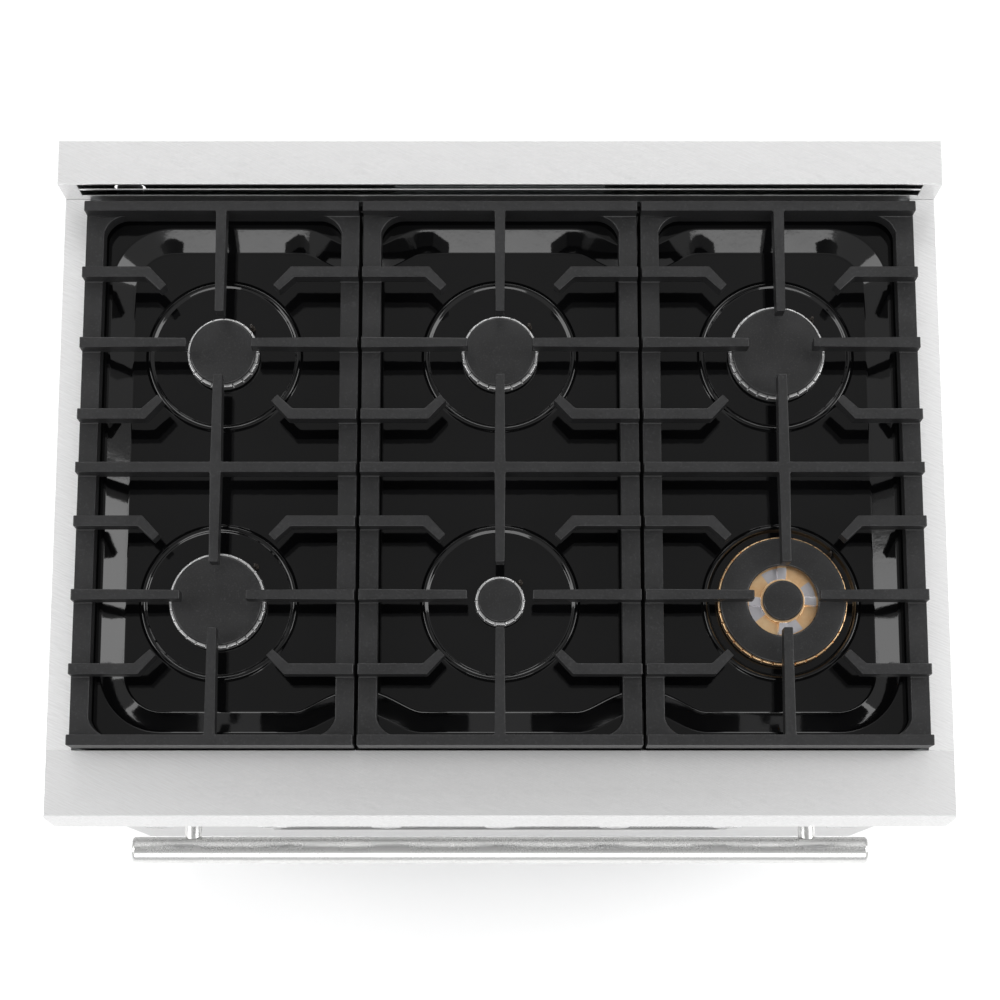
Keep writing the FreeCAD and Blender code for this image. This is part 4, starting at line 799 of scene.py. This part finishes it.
class RANGE_OT_controls(RangePiece, bpy.types.Operator):
    """Model the control panel, the bezels and the knobs"""

    bl_idname = "range.controls"
    bl_label = "Control panel and knobs"

    def build(self, looks):
        # The control panel takes the darker copy of the steel, which is painted shade.
        front = brushed("panel_steel", looks.shaded_front_steel, along=(1, 0, 0))
        panel = merged_copy("control_panel", "control_panel_sheet")
        round_chosen_edges(panel, 0.0008, lambda start, end: (start - end).length > 5 * MM)
        bpy.ops.object.shade_flat()
        settle(panel, "range_body", "stainless", front, "control_panel")
        chrome = turned_metal("bezel_chrome", (0.86, 0.86, 0.87), 0.12, 0.00001)
        rounded_part("knob_bezels", "range_body", "bezel_metal", chrome, 0.0009, 3)
        metal = turned_metal("knob_metal", (0.74, 0.74, 0.75), 0.26)
        stem = turned_metal("stem_steel", (0.6, 0.6, 0.6), 0.4)
        for number in range(1, 7):
            self.knob(f"knob_{number}", f"burner_knob_{number}", metal)
            dress(f"valve_stem_{number}", stem)
        self.knob("oven_knob", "oven_control", metal)

    def knob(self, node, body, material):
        """Round a knob outside its bore, which fits its stem."""
        axis, bore_side = middle(node), 6 * MM

        def outside(start, end):
            mid = (start + end) / 2
            return math.hypot(mid.x - axis.x, mid.z - axis.z) > bore_side

        piece = merged_copy(node, node + "_finished")
        round_chosen_edges(piece, 0.8 * MM, outside)
        smooth(piece)
        settle(piece, body, "knob_metal", material, node)


class RANGE_OT_door(RangePiece, bpy.types.Operator):
    """Model the oven door and its handle"""

    bl_idname = "range.door"
    bl_label = "Oven door"

    def build(self, looks):
        # The door takes the darker copy of the steel, which is painted shade.
        front = brushed("door_steel", looks.shaded_front_steel, along=(1, 0, 0))
        rounded_part("door_outer_panel", "oven_door", "stainless", front, 0.0014, 3, sheet=True)
        rounded_part("door_inner_panel", "oven_door", "enamel_oven", oven_enamel(), 0.001, 2,
                     sheet=True)
        rounded_part("door_outer_glass", "oven_door", "door_glass", window_glass(), 0.0006, 2,
                     sheet=True)
        rounded_part("door_inner_glass", "oven_door", "clear_glass",
                     glass("window_clear", (0.03, 0.034, 0.033), 0.38), 0.0006, 2,
                     sheet=True)
        rounded_part("door_gasket", "oven_door", "seal", braid(), 0.002, 3)
        tube = turned_metal("handle_steel", (0.80, 0.80, 0.79), 0.26, 0.000004)
        low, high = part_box("handle_bar")
        radius, half = (high.z - low.z) / 2, (high.x - low.x) / 2
        soft = 4 * MM
        end = [(radius - soft * (1 - math.sin(turn)), half - soft * (1 - math.cos(turn)))
               for turn in (math.radians(15 * step) for step in range(7))]
        bar = turned("handle_bar_tube", (low + high) / 2,
                     [(radius, -along) for radius, along in end] + end[::-1], axis="X")
        smooth(bar, 50)
        settle(bar, "oven_door", "handle_steel", tube, "handle_bar")
        rounded_part("handle_posts", "oven_door", "handle_steel", tube, 0.0008, 2)


class RANGE_OT_oven(RangePiece, bpy.types.Operator):
    """Finish the oven's inside: liner, racks, guides, burners and insulation"""

    bl_idname = "range.oven"
    bl_label = "Oven inside"

    def build(self, looks):
        enamel = oven_enamel()
        enamel.name = "oven_enamel_inside"
        for node in ("oven_liner", "oven_floor_plate"):
            dress(node, enamel)
        dress("oven_insulation", wool())
        chrome = turned_metal("rack_chrome", (0.80, 0.80, 0.81), 0.14, 0.00001)
        satin = turned_metal("guide_chrome", (0.72, 0.72, 0.73), 0.28)
        for level in ("lower", "upper"):
            rounded_part("oven_rack_" + level, level + "_rack", "rack_chrome", chrome, 0.0002, 2)
        dress("rack_guides", satin)
        stained = turned_metal("burner_steel", (0.45, 0.42, 0.38), 0.5)
        dress("bake_burner", stained)
        dress("broil_burner", stained)


class RANGE_OT_gas(RangePiece, bpy.types.Operator):
    """Finish the gas pipes, the valves, the hinges and the screws"""

    bl_idname = "range.gas"
    bl_label = "Gas parts and fixings"

    def build(self, looks):
        # Painted shade: the manifold gets a near-black steel so that, seen through the
        # backguard's vent slot, it reads as the slot's shaded inside.
        dress("gas_manifold", turned_metal("gas_pipe_painted_shade", (0.05, 0.05, 0.052), 0.62))
        dress("gas_valves", turned_metal("valve_brass", (0.70, 0.55, 0.30), 0.4))
        dress("burner_tubes", turned_metal("tube_aluminium", (0.74, 0.74, 0.75), 0.32))
        zinc = turned_metal("screw_zinc", (0.6, 0.6, 0.61), 0.35)
        for node in ("panel_screws", "hinge_pins", "hinge_brackets"):
            dress(node, zinc)


class RANGE_OT_stage(RangePiece, bpy.types.Operator):
    """Set up the floor, the lights and the camera"""

    bl_idname = "range.stage"
    bl_label = "Floor, lights and camera"

    def build(self, looks):
        scene = bpy.context.scene
        bpy.ops.object.select_all(action="DESELECT")
        bpy.ops.mesh.primitive_plane_add(size=40, location=(0, 0, -0.0005))
        floor = bpy.context.active_object
        floor.name = "studio_floor"
        select_only(floor)
        bpy.ops.object.transform_apply(location=True)
        plain = Finish("floor_white", Roughness=0.9)
        plain.put("Base Color", plain.tint((0.90, 0.90, 0.90), (0.93, 0.93, 0.93),
                                           plain.noise(1.5, 2, 0.5)))
        paint(floor, plain.material)

        world = bpy.data.worlds.new("studio")
        scene.world = world
        world.use_nodes = True
        tree = world.node_tree
        back = tree.nodes["Background"]
        coordinates = tree.nodes.new("ShaderNodeTexCoord")
        split = tree.nodes.new("ShaderNodeSeparateXYZ")
        ramp = tree.nodes.new("ShaderNodeValToRGB")
        tree.links.new(coordinates.outputs["Generated"], split.inputs[0])
        tree.links.new(split.outputs["Z"], ramp.inputs["Fac"])
        tree.links.new(ramp.outputs["Color"], back.inputs["Color"])
        stops = ramp.color_ramp.elements
        stops[0].position, stops[0].color = 0.0, (0.60, 0.60, 0.61, 1)
        stops[1].position, stops[1].color = 0.98, (0.42, 0.42, 0.42, 1)
        brightest = stops.new(0.75)
        brightest.color = (0.90, 0.90, 0.90, 1)
        back.inputs["Strength"].default_value = 0.9

        for name, place, size, power in (
                ("left_softbox", (-3.0, -0.2, 2.9), (1.7, 2.6), 60),
                ("right_softbox", (3.0, 0.0, 2.9), (1.7, 2.6), 70),
                ("rear_softbox", (0.0, 3.0, 2.9), (3.4, 1.4), 62),
                ("front_softbox", (0.0, -3.5, 3.4), (3.6, 1.3), 62)):
            light = bpy.data.lights.new(name, "AREA")
            light.shape = "RECTANGLE"
            light.size, light.size_y = size
            light.energy = power
            lamp = bpy.data.objects.new(name, light)
            scene.collection.objects.link(lamp)
            lamp.location = place
            aim = Vector((0, 0, 0.7)) - Vector(place)
            lamp.rotation_euler = aim.to_track_quat("-Z", "Y").to_euler()

        view = bpy.data.cameras.new("viewpoint")
        camera = bpy.data.objects.new("viewpoint", view)
        scene.collection.objects.link(camera)
        camera.location = VIEWPOINT
        camera.rotation_euler = (math.radians(VIEW_TILT), 0, 0)
        view.sensor_width = FILM_WIDTH
        view.lens = FILM_WIDTH * VIEW_REACH
        scene.camera = camera
        scene.view_settings.view_transform = "Standard"


class RANGE_PT_panel(bpy.types.Panel):
    """The range's operators and its sizes and colours"""

    bl_idname = "RANGE_PT_panel"
    bl_label = "Gas range"
    bl_space_type = "VIEW_3D"
    bl_region_type = "UI"
    bl_category = "Gas range"

    def draw(self, context):
        looks = context.scene.range_looks
        for name in RangeLooks.__annotations__:
            self.layout.prop(looks, name)
        for operator in OPERATORS:
            self.layout.operator(operator.bl_idname)


OPERATORS = (
    RANGE_OT_stage, RANGE_OT_grates, RANGE_OT_tray, RANGE_OT_caps, RANGE_OT_burners,
    RANGE_OT_worktop_steel, RANGE_OT_body, RANGE_OT_controls, RANGE_OT_door, RANGE_OT_oven,
    RANGE_OT_gas,
)
CLASSES = (RangeLooks, *OPERATORS, RANGE_PT_panel)


def register():
    for item in CLASSES:
        bpy.utils.register_class(item)
    bpy.types.Scene.range_looks = bpy.props.PointerProperty(type=RangeLooks)


def unregister():
    del bpy.types.Scene.range_looks
    for item in reversed(CLASSES):
        bpy.utils.unregister_class(item)


def main():
    register()
    for operator in OPERATORS:
        group, name = operator.bl_idname.split(".")
        getattr(getattr(bpy.ops, group), name)()


if __name__ == "__main__":
    main()
